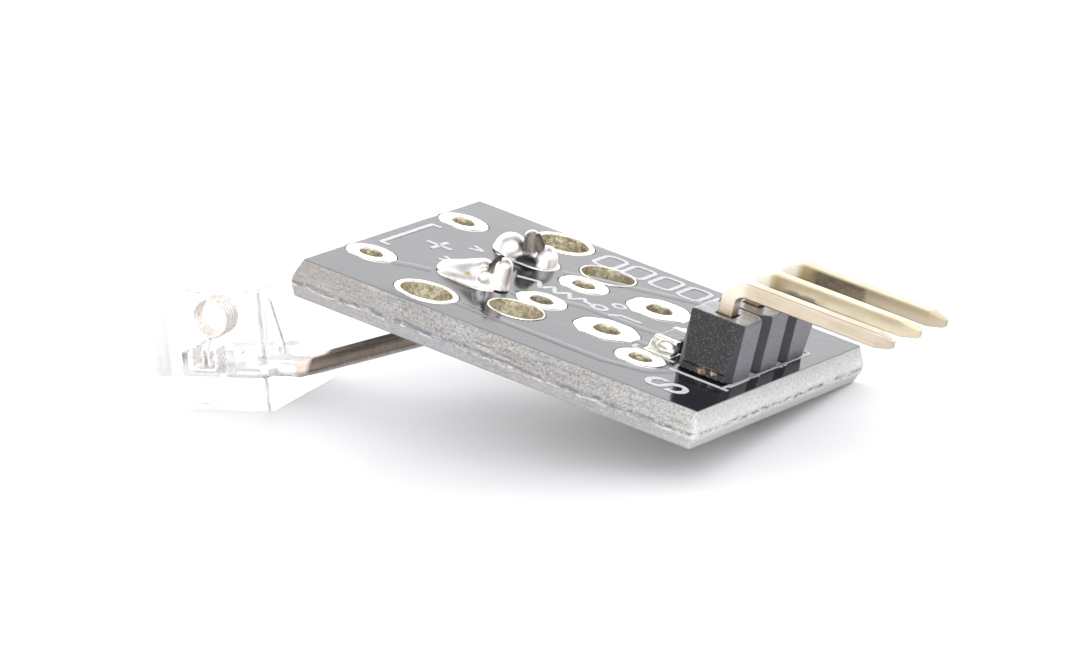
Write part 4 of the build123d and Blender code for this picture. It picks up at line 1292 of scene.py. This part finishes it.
src = nodes["sensor_base"].data
inv = HOUSE.inverted()
bv = np.array([(inv @ v.co)[:] for v in src.vertices]) * 1000
bv[:, 0] = 2.8 + (bv[:, 0] - 2.8) * (1.90 - 0.035) / 1.90
bv[:, 1] = 2.9 + (bv[:, 1] - 2.9) * (2.00 - 0.035) / 2.00
bv[:, 2] = 0.02 + bv[:, 2] * 0.99
bf = [list(p.vertices) for p in src.polygons]
placed(make("sensor_plug", bv, bf, [CLEAR_IN], HOUSE, angle=25), "clear", "sensor_base")

COIL_R, COIL_P, CX, CY, CZ = 0.82, 0.215, 2.45, 1.06, 3.72
pts = []
for i in range(int(4.5 * 28) + 1):
    q = 2 * math.pi * i / 28
    pts.append((CX + COIL_R * math.sin(q), CY + COIL_P * i / 28, CZ + COIL_R * math.cos(q)))
ctrl = [pts[-2], pts[-1], (CX - 0.22, 2.02, CZ - COIL_R + 0.02), (CX - 0.33, 1.90, CZ - COIL_R - 0.09), (2.01, 1.70, CZ - COIL_R - 0.28),
        (1.95, 1.55, CZ - COIL_R - 0.58), (1.95, 1.55, 2.00), (1.95, 1.55, 1.75), (1.95, 1.55, 1.51), (1.95, 1.55, 1.40)]
ctrl = np.array(ctrl)
tail = []
for i in range(1, len(ctrl) - 2):
    for t in np.linspace(0, 1, 7)[:-1]:
        p0, p1, p2, p3 = ctrl[i - 1], ctrl[i], ctrl[i + 1], ctrl[i + 2]
        tail.append(0.5 * (2 * p1 + (p2 - p0) * t + (2 * p0 - 5 * p1 + 4 * p2 - p3) * t * t + (3 * p1 - p0 - 3 * p2 + p3) * t ** 3))
m = Mesh()
m.rings(tube_rings(np.array(pts + tail[1:]), 0.085, 14, 0.0, 5, 0.02), caps=(True, True), flip=True)
placed(m.build("coil_of_fine_wire", [SPRING], HOUSE, angle=50), "spring", "sensor_spring")


def strip_path(path, width, thick, axis):
    """a bent flat strip: path in the x-z plane, width along y"""
    path = np.asarray(path, float)
    tan = np.gradient(path, axis=0)
    tan /= np.linalg.norm(tan, axis=1)[:, None]
    rings = []
    c = 0.02
    for p, t in zip(path, tan):
        n = np.array((-t[2], 0, t[0]))
        h, w = thick / 2, width / 2
        sec = [(h - c, w), (h, w - c), (h, -w + c), (h - c, -w), (-h + c, -w), (-h, -w + c), (-h, w - c), (-h + c, w)]
        rings.append(np.array([p + n * a + np.array((0, b, 0)) for a, b in sec]))
    return rings


m = Mesh()
ct = 0.14
lx, rx, bz = 1.95 - 0.65 + ct / 2, 1.95 + 0.65 - ct / 2, 1.36 + ct / 2
u_path = fillet_path([(lx, 1.55, 2.38), (lx, 1.55, bz), (rx, 1.55, bz), (rx, 1.55, 2.38)], [0.16, 0.16], 12)
m.rings(strip_path(u_path, 0.88, ct - 0.01, 1), caps=(True, True), flip=True)
for x, lean in ((1.95 - 0.17, 0.02), (1.95 + 0.17, -0.02)):
    p = fillet_path([(x - lean, 1.55, 2.20), (x + lean * 2, 1.55, 1.85), (x, 1.55, 1.50)], [0.3], 6)
    m.rings(strip_path(p, 0.48, 0.09, 1), caps=(True, True), flip=True)
placed(m.build("folded_clip", [CLIP], HOUSE, angle=40), "spring", "spring_clip")

wp = [(4.16, 3.46, 1.36), (4.12, 3.56, 1.95), (3.98, 2.95, 4.15), (CX + 0.10, 2.85, 4.15), (CX, 2.80, 3.74), (CX, 1.12, 3.74)]
path = resample(fillet_path(wp, [0.30, 0.25, 0.20, 0.20], 9), 0.15)
m = Mesh()
m.rings(tube_rings(path, 0.052, 14, 0.015, 8, 0.02), caps=(True, True), flip=True)
placed(m.build("thin_contact_wire", [CONTACT], HOUSE, angle=50), "spring", "contact_wire")

# ================================================================ stage, light, camera
me = bpy.data.meshes.new("floor")
s = 0.9
me.from_pydata([(-s, -s, -0.00001), (s, -s, -0.00001), (s, s, -0.00001), (-s, s, -0.00001)], [], [(0, 1, 2, 3)])
me.materials.append(floor_material())
floor = bpy.data.objects.new("floor", me)
scene.collection.objects.link(floor)

world = bpy.data.worlds.new("studio")
scene.world = world
world.use_nodes = True
wt = world.node_tree
bg = wt.nodes["Background"]
tc = wt.nodes.new("ShaderNodeTexCoord")


def wmath(op, a, b=0.0, clamp=False):
    n = wt.nodes.new("ShaderNodeMath")
    n.operation = op
    n.use_clamp = clamp
    for v, sock in ((a, n.inputs[0]), (b, n.inputs[1])):
        if isinstance(v, bpy.types.NodeSocket):
            wt.links.new(v, sock)
        else:
            sock.default_value = v
    return n.outputs[0]


def lobe(az, el, width, power):
    """soft patch of light: az from the front (-Y) towards +X, in degrees"""
    d = wt.nodes.new("ShaderNodeVectorMath")
    d.operation = "DOT_PRODUCT"
    a, e = math.radians(az), math.radians(el)
    d.inputs[1].default_value = (math.cos(e) * math.sin(a), -math.cos(e) * math.cos(a), math.sin(e))
    wt.links.new(tc.outputs["Generated"], d.inputs[0])
    n = wt.nodes.new("ShaderNodeMapRange")
    n.interpolation_type = "SMOOTHSTEP"
    for k, v in zip(("From Min", "From Max", "To Min", "To Max"), (math.cos(math.radians(width)), 1.0, 0.0, power)):
        n.inputs[k].default_value = v
    wt.links.new(d.outputs["Value"], n.inputs["Value"])
    return n.outputs["Result"]


# a low ring of light round the table, weak overhead, strongest behind and to the left
sep = wt.nodes.new("ShaderNodeSeparateXYZ")
wt.links.new(tc.outputs["Generated"], sep.inputs[0])
ring = wt.nodes.new("ShaderNodeMapRange")
ring.interpolation_type = "SMOOTHSTEP"
for k, v in zip(("From Min", "From Max", "To Min", "To Max"), (0.05, 0.95, 2.35, 0.70)):
    ring.inputs[k].default_value = v
wt.links.new(sep.outputs[2], ring.inputs["Value"])
total = wmath("ADD", ring.outputs["Result"], lobe(216, 18, 80, 1.75))
total = wmath("SUBTRACT", total, lobe(200, 20, 32, 1.55))
total = wmath("ADD", total, lobe(30, 15, 80, 1.20))
total = wmath("SUBTRACT", total, lobe(135, 30, 60, 1.0))
total = wmath("SUBTRACT", total, lobe(305, 50, 60, 0.6))
total = wmath("MAXIMUM", total, 0.12)
wt.links.new(total, bg.inputs["Strength"])
bg.inputs["Color"].default_value = (0.988, 0.985, 1.0, 1)

cam = bpy.data.cameras.new("camera")
cam.sensor_fit = "HORIZONTAL"
cam.sensor_width = 36.0
cam.lens = 7491.75 / 1080 * 36
cam.clip_start, cam.clip_end = 0.01, 10
cam.dof.use_dof = False
co = bpy.data.objects.new("camera", cam)
scene.collection.objects.link(co)
R = np.array(((0.872648, 0.479954, -0.090164), (0.040068, -0.254376, -0.966275), (-0.486703, 0.839605, -0.241211)))
eye = np.array((151.2726, -259.9396, 78.5623))
co.matrix_world = to_matrix(R[0], -R[1], -R[2], eye)
scene.camera = co

scene.view_settings.view_transform = "Standard"
scene.view_settings.look = "None"
scene.view_settings.exposure = 0.0
scene.view_settings.gamma = 1.0
cy = scene.cycles
cy.use_denoising = True
cy.max_bounces = 14
cy.transmission_bounces = 14
cy.glossy_bounces = 6
cy.transparent_max_bounces = 12
cy.caustics_refractive = True
cy.caustics_reflective = False
cy.blur_glossy = 0.3
cy.sample_clamp_indirect = 6.0
